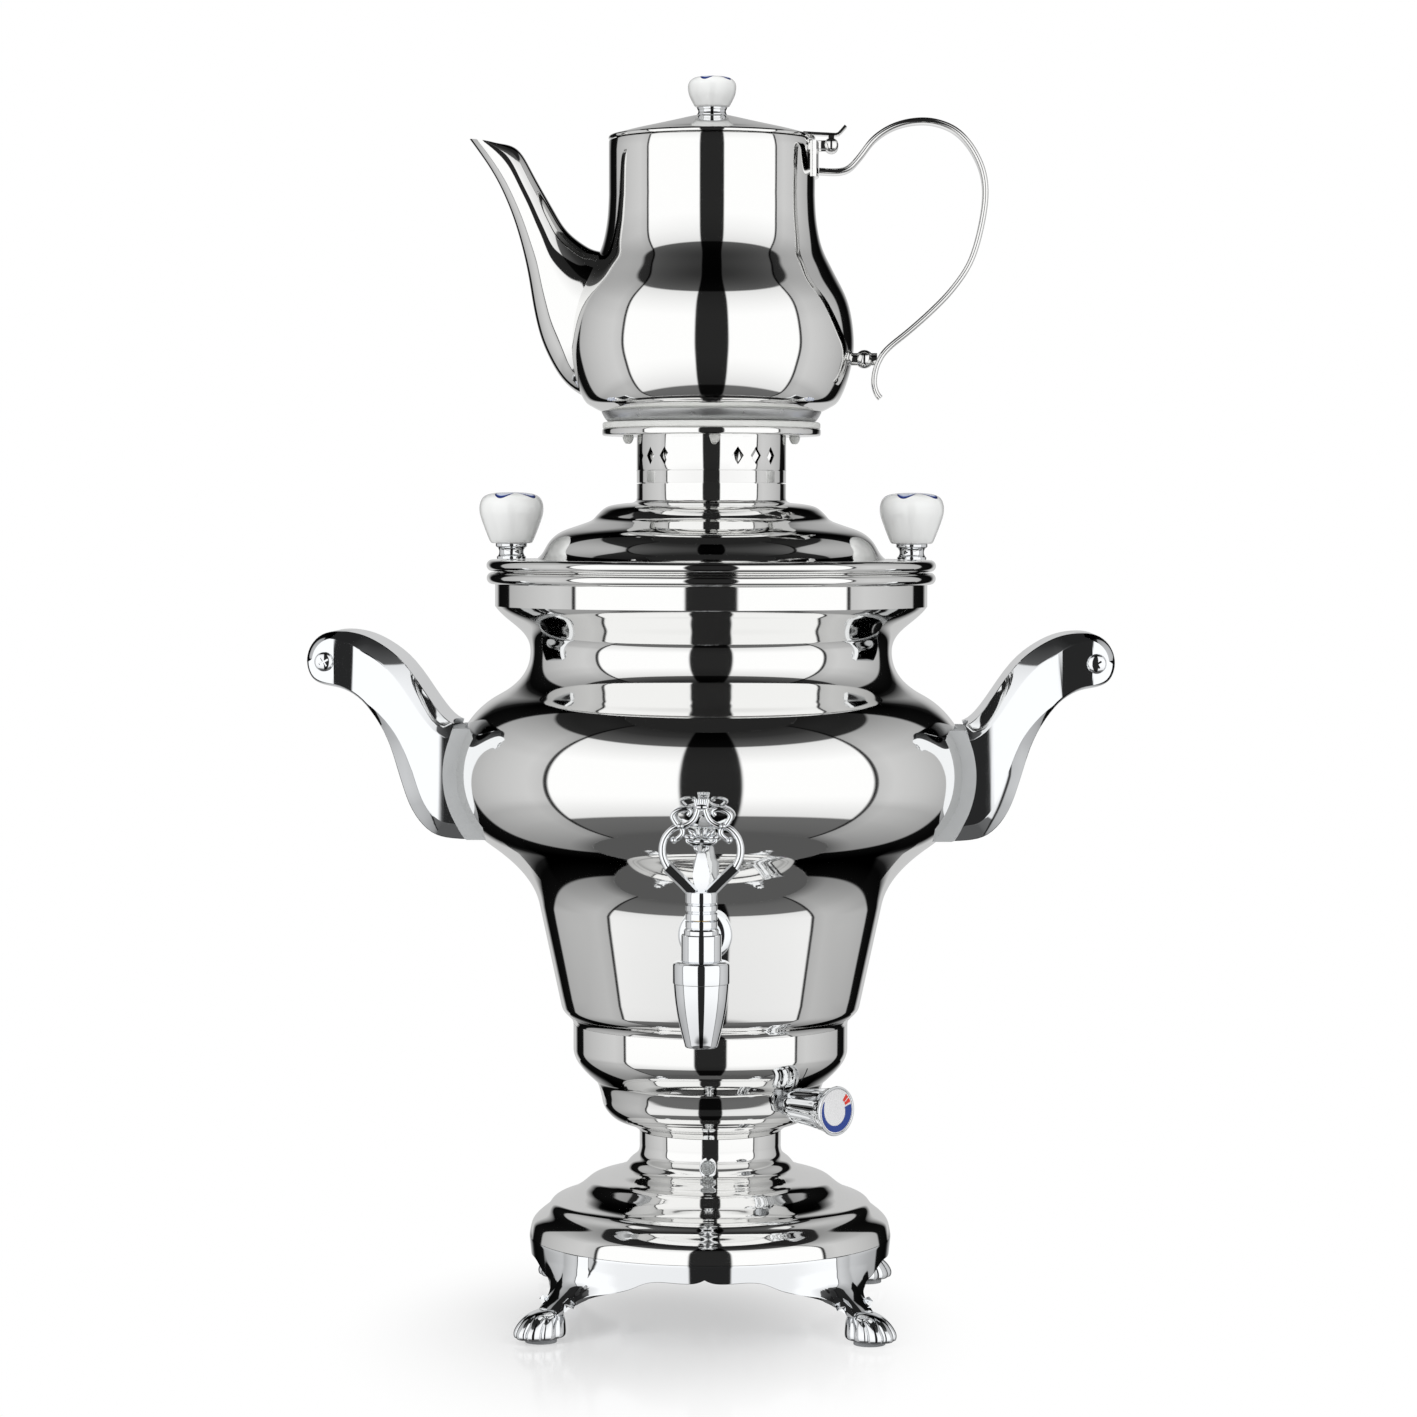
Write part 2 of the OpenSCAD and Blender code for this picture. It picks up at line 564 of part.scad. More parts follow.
element_z = bottom_z - plate_t - element_r - 0.05;
module heater_plate() color(satin) ring(48, rod_r + 0.6, bottom_z - plate_t, bottom_z);
module heating_element() color("dimgray") {
    translate([0, 0, element_z]) rotate([0, 0, 110]) rotate_extrude(angle = 320)
        translate([element_ring, 0]) circle(r = element_r, $fn = 32);
    for (x = [-1, 1]) translate([x * element_pin.x, element_pin.y, 0])
        rod(1.6, element_pin.z, element_z);
}
module thermal_cutout() color("tan") translate([-20, 0, 0]) {
    rod(8, bottom_z - plate_t - 6, bottom_z - plate_t);
    for (y = [-4, 4]) translate([-3, y - 0.4, bottom_z - plate_t - 13]) cube([6, 0.8, 7 + eps]);
}

// ---- Side handles. The right one lies along +X, the left one is turned by 180 degrees
nose_x = nose_screw_x;
nose_z = belly_z + 46.7;
foot_low_z = belly_z - 27;
foot_high_z = belly_z + 19;
// Side outline, clockwise from the foot's upper inner corner: across, up
handle_line = concat(
    curve([[belly_r - 14, foot_high_z + 2], [belly_r - 3, foot_high_z + 1.5],
        [belly_r + 5, foot_high_z + 8], [mix(belly_r, nose_x, 0.35), foot_high_z + 27],
        [mix(belly_r, nose_x, 0.6), nose_z + 9], [nose_x - 10, nose_z + 12.4],
        [nose_x, nose_z + 12], [nose_x + 6, nose_z + 7]], 3),
    curve([[nose_x + 8, nose_z], [nose_x + 6, nose_z - 6.5], [nose_x + 1, nose_z - 9.6],
        [nose_x - 8, nose_z - 11.5], [nose_x - 17, nose_z - 18],
        [mix(belly_r, nose_x, 0.5), belly_z + 15], [mix(belly_r, nose_x, 0.4), belly_z - 1],
        [mix(belly_r, nose_x, 0.3), belly_z - 15], [mix(belly_r, nose_x, 0.14), belly_z - 24.5],
        [belly_r - 4, foot_low_z], [belly_r - 22, foot_low_z]], 3));
module side_prism(line, half) rotate([90, 0, 0]) translate([0, 0, -half])
    linear_extrude(2 * half) polygon(line);
// The urn's outline grown by t round the belly, as a solid
module belly_block(t) spin(concat(
    [[0, foot_low_z - 15]],
    [for (a = [-80:4:80]) belly_c + (belly_arc + t) * [cos(a), sin(a)]],
    [[0, foot_high_z + 20]]));
step_in = 4;                  // how far the handle's side faces step in
module handle_shell() difference() {
    union() {
        side_prism(handle_line, grip_y - 5);
        side_prism(shrink(handle_line, step_in), grip_y);
    }
    side_prism(shrink(handle_line, cover_wall), core_y);
    belly_block(gasket_t);
    for (y = [-1, 1]) translate([nose_x, y * (grip_y - 1), nose_z]) rotate([0, 0, -90 * y])
        rod_x(1.75 + fit, -2, grip_y);
    translate([nose_x, 0, nose_z]) rotate([90, 0, 0]) translate([0, 0, -grip_y - 1])
        difference() {
            cylinder(r = 4.1, h = 2 * grip_y + 2);
            translate([0, 0, 3]) cylinder(r = 5, h = 2 * grip_y - 4);
        }
}
core_y = grip_y - 7;
module handle_core() difference() {
    side_prism(shrink(handle_line, cover_wall + 0.1), core_y - 0.1);
    side_prism(core_window, core_y - 4);
    belly_block(gasket_t);
    translate([nose_x, 0, nose_z]) rotate([90, 0, 0])
        translate([0, 0, -grip_y]) cylinder(r = 1.75, h = 2 * grip_y);
    handle_fixings() rod_x(fix_r, -10, fix_l + fix_seat);
}
// Hollow of the moulded core, which leaves bosses for its screws
core_window = [for (t = [0:30:359]) [nose_x - 27 + 13 * cos(t), nose_z - 12 + 10 * sin(t)]];
// The two fixing screws of the right handle, seated on the wall with +X outwards
module handle_fixings() for (y = [-fix_y, fix_y])
    translate([sqrt(belly_r * belly_r - y * y), y, belly_z]) children();
module left_handle() color(steel) rotate([0, 0, 180]) handle_shell();
module right_handle() color(steel) handle_shell();
module left_handle_core() color("dimgray") rotate([0, 0, 180]) handle_core();
module right_handle_core() color("dimgray") handle_core();
module handle_gaskets() color("lightgray") for (side = [0, 180]) rotate([0, 0, side])
    difference() {
        intersection() {
            translate([belly_r - 40, -grip_y, foot_low_z]) cube([60, 2 * grip_y, foot_high_z - foot_low_z]);
            belly_block(gasket_t);
        }
        urn_outside();
        handle_fixings() rod_x(fix_r + fit, -20, 20);
    }
module handle_screws() color(satin) for (side = [0, 180]) rotate([0, 0, side])
    handle_fixings() translate([fix_seat, 0, 0]) screw(fix_r, fix_l, 4.5, 2.4);
module handle_seals() color("lightgray") for (side = [0, 180]) rotate([0, 0, side])
    intersection() {
        urn_inside();
        handle_fixings() rotate([0, 90, 0]) ring(5.5, fix_r + fit, fix_seat, 3);
    }
module nose_screws() color(steel) for (x = [-1, 1], y = [-1, 1])
    translate([x * nose_x, y * (grip_y - 2), nose_z]) rotate([0, 0, -90 * y]) screw(1.75, 16, 4, 1.8);

// ---- Tap
block_low = -5.2;             // levels counted from the barrel's axis
block_high = 5.2;
collar_low = block_low - 9.6;
bonnet_h = 5.6;
barrel_r = block_high - 0.1;
shoulder_r = tail_r + 0.5;
module tap_plumb() translate([0, -tap_reach, tap_z]) children();
module tap_body() color(steel) difference() {
    union() {
        tap_plumb() rod(block_r, block_low, block_high);
        tap_plumb() rod(tail_r, collar_low + 1.5, block_low + 1);
        tap_at() rotate([0, 90, 0]) spin([[0, tap_wall_x - 13], [tail_r, tap_wall_x - 13],
            [tail_r, tap_wall_x + 2], [shoulder_r, tap_wall_x + 2], [shoulder_r, tap_wall_x + 8],
            [barrel_r, tap_wall_x + 16], [barrel_r, tap_reach], [0, tap_reach]]);
    }
    tap_plumb() rod(plug_r + run_gap, block_low - 3, block_high + 1);
    tap_plumb() rod(plug_r - 1, collar_low, block_low);
    tap_at() rod_x(plug_r - 1, tap_wall_x - 20, tap_reach - plug_r + 1);
}
module tap_rosette() color(steel) difference() {
    tap_at() rotate([0, 90, 0]) spin([[tail_r, tap_wall_x - 6], [11, tap_wall_x - 6],
        [11, tap_wall_x + 3], [9.6, tap_wall_x + 4.4], [tail_r, tap_wall_x + 5]]);
    urn_outside();
    tap_at() rod_x(shoulder_r, tap_wall_x - 10, tap_reach);
}
nut_x = tap_wall_x - 8;
module tap_gasket() color("lightgray") intersection() {
    urn_inside();
    tap_at() rotate([0, 90, 0]) ring(10, tail_r + fit, nut_x, tap_wall_x + 3);
}
module tap_nut() color(satin) tap_at() difference() {
    translate([nut_x - 4.5, 0, 0]) rotate([0, 90, 0]) cylinder(r = 10, h = 4.5, $fn = 6);
    rod_x(tail_r, nut_x - 10, nut_x + 10);
}
module tap_nozzle() color(steel) tap_plumb() difference() {
    spin([[0, block_low], [9.6, block_low], [11.25, block_low - 1.4], [11.25, collar_low + 1.2],
        [10.85, collar_low], [9.65, collar_low - 0.42 * nozzle_l], [7.55, collar_low - 0.77 * nozzle_l],
        [6.35, collar_low - nozzle_l + 0.8], [5.6, collar_low - nozzle_l], [0, collar_low - nozzle_l]]);
    rod(tail_r + fit, collar_low + 1.4, block_low + 1);
    rod(plug_r, collar_low - nozzle_l - 1, block_low);
}
module tap_bonnet() color(steel) tap_plumb() difference() {
    spin([[0, block_high], [6.9, block_high], [6.9, block_high + 1.6], [6.3, block_high + 2.2],
        [6.3, block_high + bonnet_h - 1], [5.6, block_high + bonnet_h], [0, block_high + bonnet_h]]);
    rod(plug_r - 1 + run_gap, 0, 40);
}
stem_low = block_high + bonnet_h + rest_gap;
stem_high = stem_low + 11;
module tap_plug() color("goldenrod") tap_plumb() difference() {
    union() {
        rod(plug_r, block_low - 2.6, block_high - 0.3);
        rod(plug_r - 1, 0, stem_low + 6);
    }
    rod(plug_r - 1.7, block_low - 3, 0);
    rod_x(plug_r - 1.7, 0, 20);
}
key_t = 4.6;
module tap_key() color(steel) tap_plumb() difference() {
    union() {
        spin([[0, stem_low], [6.3, stem_low], [6.3, stem_low + 2.4], [5.5, stem_low + 3],
            [6.3, stem_low + 3.6], [6.3, stem_low + 6], [5.5, stem_low + 6.6], [6.3, stem_low + 7.2],
            [6.3, stem_high - 1], [5.4, stem_high], [0, stem_high]]);
        translate([0, key_t / 2, stem_high - 1]) rotate([90, 0, 0]) linear_extrude(key_t) key_outline();
    }
    rod(plug_r - 1, 0, stem_low + 6);
}
// Pierced key: two struts, a pair of scrolls that close a ring, a bud and a crown
module key_outline() {
    ring_y = key_h * 0.48;
    for (s = [-1, 1]) {
        polygon(ribbon([[s * 3, 0], [s * 8.5, 8], [s * 14.2, ring_y - 2]], 4));
        translate([s * 8.4, ring_y]) difference() {
            circle(r = 8);
            circle(r = 4.6);
        }
        polygon(ribbon([[s * 9, ring_y + 6], [s * 9.6, key_h - 8]], 4));
    }
    polygon([[-4, -0.5], [4, -0.5], [2, 6], [3.4, ring_y], [0, ring_y + 9], [-3.4, ring_y], [-2, 6]]);
    polygon([[-10, key_h - 9], [10, key_h - 9], [12, key_h], [7, key_h - 3.4], [4.6, key_h + 0.6],
        [0, key_h - 2.6], [-4.6, key_h + 0.6], [-7, key_h - 3.4], [-12, key_h]]);
}

// ---- Lid of the urn
lid_line = concat(
    [[collar_r + 1, lid_top_z - 0.1], [collar_r - 2, lid_top_z], [collar_r - 8, lid_top_z + 0.1]],
    curve([[crown_r + 42, lid_top_z + 0.25], [crown_r + 39.6, lid_top_z + 2.6],
        [crown_r + 36.4, lid_top_z + 0.33 * lid_h], [crown_r + 31.6, lid_top_z + 0.49 * lid_h],
        [crown_r + 23.6, lid_top_z + 0.61 * lid_h], [crown_r + 18.7, lid_top_z + 0.69 * lid_h],
        [crown_r + 16.4, lid_top_z + 0.79 * lid_h], [crown_r + 12.4, lid_top_z + 0.93 * lid_h],
        [crown_r + 6, lid_top_z + 0.985 * lid_h]], 4),
    [[crown_r + 0.8, lid_dome_z], [crown_r, lid_dome_z + 1], [crown_r, lid_dome_z + lid_collar_h]]);
skirt_r = bead_ring - bead_d / 2 - rest_gap;
knob_floor_z = lid_top_z + rest_gap;
module at_knobs() for (s = [-1, 1]) translate([s * knob_x, 0, 0]) children();
module urn_lid() color(steel) difference() {
    union() {
        spin(skin(lid_line, wall));
        translate([0, 0, lid_z + bead_d / 2]) rotate_extrude()
            translate([bead_ring + 0.2, 0]) circle(r = bead_d / 2 - 0.1, $fn = 32);
        ring(skirt_r, skirt_r - wall, rim_z - 2, lid_top_z - wall / 2);
    }
    at_knobs() rod(2 + fit, lid_z, lid_dome_z);
}
module porcelain_knob() difference() {
    spin(concat([[0, 0], [knob_r * 0.64, 0]],
        curve([[knob_r * 0.71, 0.6], [knob_r * 0.84, knob_h * 0.33], [knob_r * 0.985, knob_h * 0.62],
            [knob_r * 0.98, knob_h * 0.78], [knob_r * 0.86, knob_h * 0.92], [knob_r * 0.6, knob_h * 0.985],
            [0.01, knob_h]], 4), [[0, knob_h]]));
    rod(2 + fit, -1, knob_h * 0.6);
}
knob_foot_z = knob_floor_z + ferrule_h;
module left_lid_knob() color("white") translate([-knob_x, 0, knob_foot_z]) porcelain_knob();
module right_lid_knob() color("white") translate([knob_x, 0, knob_foot_z]) porcelain_knob();
module lid_ferrules() color(steel) at_knobs() translate([0, 0, knob_floor_z]) difference() {
    spin(concat([[0, 0], [6.1, 0]], bend([6.1, 1], [5, 1.6], [4.6, 4], [6.2, ferrule_h - 1.6], 8),
        [[7, ferrule_h - 1.4], [7, ferrule_h], [0, ferrule_h]]));
    rod(2 + fit, -1, ferrule_h + 1);
}
module lid_knob_screws() color(satin) at_knobs()
    translate([0, 0, lid_top_z - wall - 0.4]) rotate([0, -90, 0]) screw(2, 18, 3.4, 2);

// ---- Gallery ring and its silicone seat
group_turn = -52.3;            // a group of vents, counted from +X
group_pitch = 15.6;
plug_ring = crown_r + 3.6;
seat_plug_r = 2;
module gallery_ring() color(steel) difference() {
    union() {
        ring(crown_r, crown_r - crown_wall, crown_z, seat_z - 0.5);
        ring(crown_r - wall - 0.5, crown_r - wall - 1.6, crown_z - 5, crown_z + 3);
        spin([[crown_r - 5.3, flange_z], [crown_flange_r - 0.8, flange_z],
            [crown_flange_r, flange_z + 0.8], [crown_flange_r, seat_z - 0.8],
            [crown_flange_r - 0.8, seat_z], [crown_r - 5.3, seat_z]]);
    }
    for (g = [0:90:270], k = [-1:1]) rotate([0, 0, group_turn + g + k * group_pitch])
        translate([crown_r - 4, 0, crown_z + 0.57 * crown_h]) rotate([90, 0, 90])
            linear_extrude(8) polygon([[0, vent_h / 2], [vent_w / 2, 0], [0, -vent_h / 2], [-vent_w / 2, 0]]);
    around([4:90:359], plug_ring) rod(seat_plug_r + fit, crown_z, seat_z + 1);
}
module seat_ring() color("gainsboro") {
    spin([[crown_r + 0.5, seat_z], [crown_flange_r - 0.6, seat_z],
        [crown_flange_r - 0.2, seat_z + 0.6], [crown_flange_r - 0.2, seat_z + seat_t - 0.8],
        [crown_flange_r - 1, seat_z + seat_t], [crown_r + 1, seat_z + seat_t],
        [crown_r + 0.5, seat_z + seat_t - 0.5]]);
    around([4:90:359], plug_ring) {
        rod(seat_plug_r, flange_z - 0.2, seat_z + 1);
        translate([0, 0, flange_z - 0.1]) mirror([0, 0, 1]) cylinder(r1 = 2.4, r2 = 1.6, h = 3.2);
    }
}

// ---- Teapot
pot_line = concat(
    curve([[pot_base_r, pot_shell_z], [pot_base_r + 3.4, pot_shell_z + 1.7],
        [pot_r - 6.2, pot_shell_z + 4.8], [pot_r - 2.2, pot_shell_z + 0.13 * pot_h],
        [pot_r, pot_shell_z + 0.248 * pot_h], [pot_r - 2.3, pot_shell_z + 0.398 * pot_h],
        [mix(pot_neck_r, pot_r, 0.47), pot_shell_z + 0.518 * pot_h],
        [mix(pot_neck_r, pot_r, 0.18), pot_shell_z + 0.606 * pot_h],
        [mix(pot_neck_r, pot_r, 0.04), pot_shell_z + 0.704 * pot_h],
        [pot_neck_r, pot_shell_z + 0.797 * pot_h]], 5),
    [[pot_neck_r, pot_rim_z]]);
pot_wall = 0.8;
spout_wall = 0.8;
module pot_outside() solid_of(pot_line, pot_shell_z, pot_rim_z);
module teapot_body() color(steel) difference() {
    union() {
        spin(skin(pot_line, pot_wall));
        rod(pot_base_r, pot_shell_z, pot_shell_z + pot_wall);
    }
    // Strainer holes behind the spout
    for (k = [-2:2], a = [-12:6:12])
        translate([0, 0, pot_shell_z + 38 + 6 * k]) rotate([0, 0, 180 + a]) rod_x(1.4, pot_neck_r, pot_r + 5);
}
module teapot_base() color(satin) spin([[0, pot_z], [pot_base_r - 2.6, pot_z],
    [pot_base_r - 1.4, pot_z + 1.2], [pot_base_r, pot_shell_z], [0, pot_shell_z]]);
// Sections of the spout from root to mouth: lower edge, upper edge, half width
spout_cuts = [
    [[-42, 1.4], [-32, 64.8], 17], [[-pot_r + 0.1, 9.8], [-pot_r + 13, 66.8], 17],
    [[-pot_r - 9.9, 25.5], [-pot_r + 6.5, 69.4], 14.5], [[-pot_r - 14.5, 40.8], [-pot_r - 1.5, 75.9], 12],
    [[-pot_r - 17.9, 60.8], [-pot_r - 7.6, 85.8], 9.6], [[-pot_r - 23.4, 80.9], [-pot_r - 14.2, 97.2], 7.8],
    [[-pot_r - 31.3, 98.6], [-pot_r - 21.5, 109.6], 6.8], [[-pot_r - 41.8, 113.7], [-pot_r - 30.5, 112], 6.2]];
spout_path = curve([for (c = spout_cuts) [c[0].x, c[0].y, c[1].x, c[1].y, c[2]]], 3);
function spout_ring(s, t) = let (
        low = [s[0], 0, pot_shell_z + s[1]], high = [s[2], 0, pot_shell_z + s[3]],
        half = (high - low) / 2, k = 1 - t / norm(half))
    [for (a = [0:20:359]) (low + high) / 2 + k * cos(a) * half + [0, (s[4] - t) * sin(a), 0]];
module teapot_spout() color(steel) difference() {
    loft([for (s = spout_path) spout_ring(s, 0)]);
    hollow = [for (s = spout_path) spout_ring(s, spout_wall)];
    tip = hollow[len(hollow) - 1];
    loft(concat(hollow, [[for (p = tip) p + [-0.4, 0, 3]]]));
    pot_outside();
}
hinge_z = pot_rim_z - 2.1;
bracket_r = pot_neck_r + 1.6;
bar_z = hinge_z - 10.6;
// Middle line of the strip handle: across, up
strip_line = curve([
    [bracket_r + fit, bar_z], [hinge_x + 5.5, bar_z], [pot_r + 1.8, bar_z + 5.5],
    [pot_r + 7.6, bar_z + 13], [pot_r + 15.4, bar_z + 18.2], [pot_r + 24.4, bar_z + 20.6],
    [pot_r + 33.4, bar_z + 20.3], [pot_r + 42.4, bar_z + 16.5], [pot_r + 49.6, bar_z + 8.2],
    [pot_r + 54, bar_z - 3], [pot_r + 53.9, bar_z - 16.6], [pot_r + 49.2, bar_z - 35.9],
    [pot_r + 41.3, bar_z - 48.5], [pot_r + 32, bar_z - 58.3], [pot_r + 22.1, bar_z - 67.1],
    [pot_r + 15.6, bar_z - 72.3], [pot_r + 11.6, bar_z - 76.6], [pot_r + 9.1, bar_z - 82.1],
    [pot_r + 8.3, bar_z - 88.1], [pot_r + 9.4, bar_z - 92.3], [pot_r + 11, bar_z - 94.4]], 4);
ball_z = bar_z - 78.1;
module teapot_handle() color(steel) difference() {
    union() {
        side_prism(ribbon(strip_line, strip_t), strip_w / 2);
        translate([pot_r + 4.3, 0, ball_z]) sphere(r = 3.9);
        translate([0, 0, ball_z]) rod_x(2.6, pot_r - 6, pot_r + 9.4);
    }
    pot_outside();
}
ear_y = [3.9, 7];             // inner and outer faces of the bracket's ears
module teapot_bracket() color(steel) {
    difference() {
        intersection() {
            ring(bracket_r, pot_neck_r, bar_z - 2.6, hinge_z + 2.4);
            translate([0, -10, bar_z - 5]) cube([100, 20, 50]);
        }
        pot_outside();
    }
    for (s = [0, 1]) mirror([0, s, 0]) translate([0, ear_y[1], hinge_z]) rotate([90, 0, 0])
        linear_extrude(ear_y[1] - ear_y[0]) difference() {
            union() {
                translate([hinge_x, 0]) circle(r = hinge_r);
                translate([pot_neck_r + 0.4, -hinge_r + 0.6]) square([hinge_x - pot_neck_r - 0.4, 2 * hinge_r - 1.2]);
            }
        }
    translate([hinge_x, 0, hinge_z]) rotate([90, 0, 0])
        translate([0, 0, -ear_y[0] - 0.5]) cylinder(r = pin_r, h = 2 * ear_y[0] + 1);
}

// ---- Lid of the teapot, hinged over the handle
pot_lid_line = concat(
    [[pot_neck_r - 0.6, pot_lid_z], [pot_neck_r + 0.1, pot_lid_z + 0.5], [pot_neck_r + 0.1, pot_lid_z + 1.2]],
    curve([[pot_neck_r - 0.8, pot_lid_z + 1.8], [pot_neck_r - 3.3, pot_lid_z + 2.4],
        [pot_neck_r * 0.77, pot_lid_z + 0.4 * pot_lid_h], [pot_neck_r * 0.46, pot_lid_z + 0.7 * pot_lid_h],
        [pot_neck_r * 0.23, pot_lid_z + 0.93 * pot_lid_h], [6.4, pot_lid_z + pot_lid_h]], 4),
    [[3, pot_lid_z + pot_lid_h]]);
pot_lid_top_z = pot_lid_z + pot_lid_h;
tab_y = ear_y[0] - 0.3;
module teapot_lid() color(steel) difference() {
    union() {
        spin(concat(pot_lid_line, [[3, pot_lid_top_z - pot_wall]], reverse([for (i = [3:len(pot_lid_line) - 2])
            pot_lid_line[i] - [0, pot_wall]]), [[pot_neck_r - 0.9, pot_lid_z]]));
        ring(pot_neck_r - 3.1, pot_neck_r - 3.9, pot_rim_z - 4, pot_lid_z + 2);
        // Tab over the rim, knuckle and thumb piece
        side_prism(ribbon([[pot_neck_r - 5, pot_lid_z + 2.9], [hinge_x + 2.6, pot_lid_z + 2.1],
            [hinge_x + 6, hinge_z + 8.2]], 1.2), tab_y);
        translate([hinge_x, tab_y, hinge_z]) rotate([90, 0, 0]) cylinder(r = hinge_r, h = 2 * tab_y);
        translate([hinge_x - 1.2, -tab_y, hinge_z + 1]) cube([2.4, 2 * tab_y, pot_lid_z - hinge_z + 1.1]);
    }
    translate([hinge_x, 10, hinge_z]) rotate([90, 0, 0]) cylinder(r = pin_r + run_gap, h = 20);
    rod(2 + fit, pot_lid_z, pot_lid_top_z + 5);
}
pot_ferrule_h = 3.2;
module teapot_lid_ferrule() color(steel) {
    translate([0, 0, pot_lid_top_z]) spin(concat([[0, 0]],
        bend([6.3, 0], [5.9, 0.5], [5.9, 2.3], [6.3, pot_ferrule_h - 0.3], 8),
        [[6.3, pot_ferrule_h], [0, pot_ferrule_h]]));
    rod(2, pot_lid_top_z - 3, pot_lid_top_z + pot_ferrule_h + 6);
}
pot_knob_h = 13;
pot_knob_r = 10.1;
module teapot_lid_knob() color("white") translate([0, 0, pot_lid_top_z + pot_ferrule_h])
    difference() {
        spin(concat([[0, 0], [6.6, 0]],
            curve([[7.4, 0.5], [8.4, 2.5], [9.7, 5.4], [pot_knob_r, 8.6], [pot_knob_r - 0.6, 10.6],
                [pot_knob_r - 2.6, 12.4], [0.01, pot_knob_h]], 4), [[0, pot_knob_h]]));
        rod(2 + fit, -1, 7);
    }

// ---- Output
base_plinth();
color(steel) rotate([0, 0, legs[2]]) paw();  // paw_front_left
color(steel) rotate([0, 0, legs[3]]) paw();  // paw_front_right
color(steel) rotate([0, 0, legs[1]]) paw();  // paw_rear_left
color(steel) rotate([0, 0, legs[0]]) paw();  // paw_rear_right
foot_pads();
paw_screws();
bottom_cover();
cover_screws();
base_bridge();
tie_rod();
tie_nut();
base_dome();
cable_gland();
pilot_lamp();
terminal_block();
wiring();
thermostat_bowl();
thermostat();
thermostat_nut();
thermostat_probe();
lower_cup();
urn_body();
heater_plate();
heating_element();
thermal_cutout();
left_handle();
right_handle();
left_handle_core();
right_handle_core();
handle_gaskets();
handle_screws();
handle_seals();
nose_screws();
tap_body();
tap_rosette();
tap_gasket();
tap_nut();
tap_nozzle();
tap_bonnet();
tap_key();
tap_plug();
knob_barrel();
knob_dial();
urn_lid();
left_lid_knob();
right_lid_knob();
lid_ferrules();
lid_knob_screws();
gallery_ring();
seat_ring();
teapot_body();
teapot_base();
teapot_spout();
teapot_handle();
teapot_bracket();
teapot_lid();
teapot_lid_knob();
teapot_lid_ferrule();
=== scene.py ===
"""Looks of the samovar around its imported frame. Metres, +Z up, the tap faces -Y."""
import math

import bmesh
import bpy
from mathutils import Matrix, Vector


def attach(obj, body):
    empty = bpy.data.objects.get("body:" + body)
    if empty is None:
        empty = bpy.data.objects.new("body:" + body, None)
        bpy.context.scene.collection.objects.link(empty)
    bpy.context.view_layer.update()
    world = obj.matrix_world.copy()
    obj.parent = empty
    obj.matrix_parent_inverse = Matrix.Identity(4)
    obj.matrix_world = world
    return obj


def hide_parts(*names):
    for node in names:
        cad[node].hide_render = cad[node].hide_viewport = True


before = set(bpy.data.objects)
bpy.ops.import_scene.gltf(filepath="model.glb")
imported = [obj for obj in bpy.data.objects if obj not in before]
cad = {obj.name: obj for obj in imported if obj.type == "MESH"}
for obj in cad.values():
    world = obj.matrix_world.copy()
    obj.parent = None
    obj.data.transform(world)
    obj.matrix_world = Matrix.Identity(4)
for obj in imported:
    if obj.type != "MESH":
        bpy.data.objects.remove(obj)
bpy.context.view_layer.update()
MM = 0.001


# ---------------------------------------------------------------- plinth
# The plinth is one chromed casting: a low skirt with a scalloped lower edge that runs out
# into four legs. The skirt is drawn as a half bay between its middle and a leg, mirrored and
# turned round, then given its wall.
def linear(code):
    """An sRGB hex colour as linear RGBA."""
    parts = [int(code[i:i + 2], 16) / 255 for i in (1, 3, 5)]
    return [c / 12.92 if c <= 0.04045 else ((c + 0.055) / 1.055) ** 2.4 for c in parts] + [1.0]


def wire(material, node, inputs):
    """Sets a node's inputs; each takes a value or a (node, output) pair."""
    for key, value in inputs.items():
        if isinstance(value, tuple) and hasattr(value[0], "outputs"):
            material.node_tree.links.new(value[0].outputs[value[1]], node.inputs[key])
        else:
            node.inputs[key].default_value = value


def add(material, kind, inputs=None, **settings):
    """Adds a shader node with its settings and inputs."""
    node = material.node_tree.nodes.new("ShaderNode" + kind)
    for key, value in settings.items():
        setattr(node, key, value)
    wire(material, node, inputs or {})
    return node


def surface(name, inputs):
    """A new material and its shader, with these inputs set."""
    material = bpy.data.materials.new(name)
    material.use_nodes = True
    shader = material.node_tree.nodes["Principled BSDF"]
    wire(material, shader, inputs)
    return material, shader


def emboss(material, shader, pattern, strength, height_mm):
    """Fine relief from a noise node."""
    relief = add(material, "Bump",
                 {"Height": (pattern, "Fac"), "Strength": strength, "Distance": height_mm * MM})
    wire(material, shader, {"Normal": (relief, 0)})


def polished_metal(name, code, roughness, mark_mm, mark_height):
    """A bare or plated metal. Faint polishing marks keep long reflections from being perfect."""
    material, shader = surface(name, {"Base Color": linear(code), "Metallic": 1.0})
    place = add(material, "TexCoord")
    marks = add(material, "TexNoise", {"Vector": (place, "Object"), "Scale": 1 / (mark_mm * MM),
                                       "Detail": 3.0, "Roughness": 0.6})
    spread = add(material, "MapRange", {"Value": (marks, "Fac"), "To Min": roughness * 0.6,
                                        "To Max": roughness * 1.5})
    wire(material, shader, {"Roughness": (spread, 0)})
    emboss(material, shader, marks, 0.25, mark_height)
    return material


# Chrome plating on a polished zinc casting: a mirror with a cool tint and slight unevenness
chrome_plate = polished_metal("chrome plated zinc casting, polished", "#F1F3F5", 0.035, 7, 0.006)
# Stainless sheet, spun and mirror polished: as bright, a little warmer, softer at its edges
mirror_sheet = polished_metal("stainless steel sheet, spun and mirror polished", "#F2F2F1", 0.04, 16, 0.008)


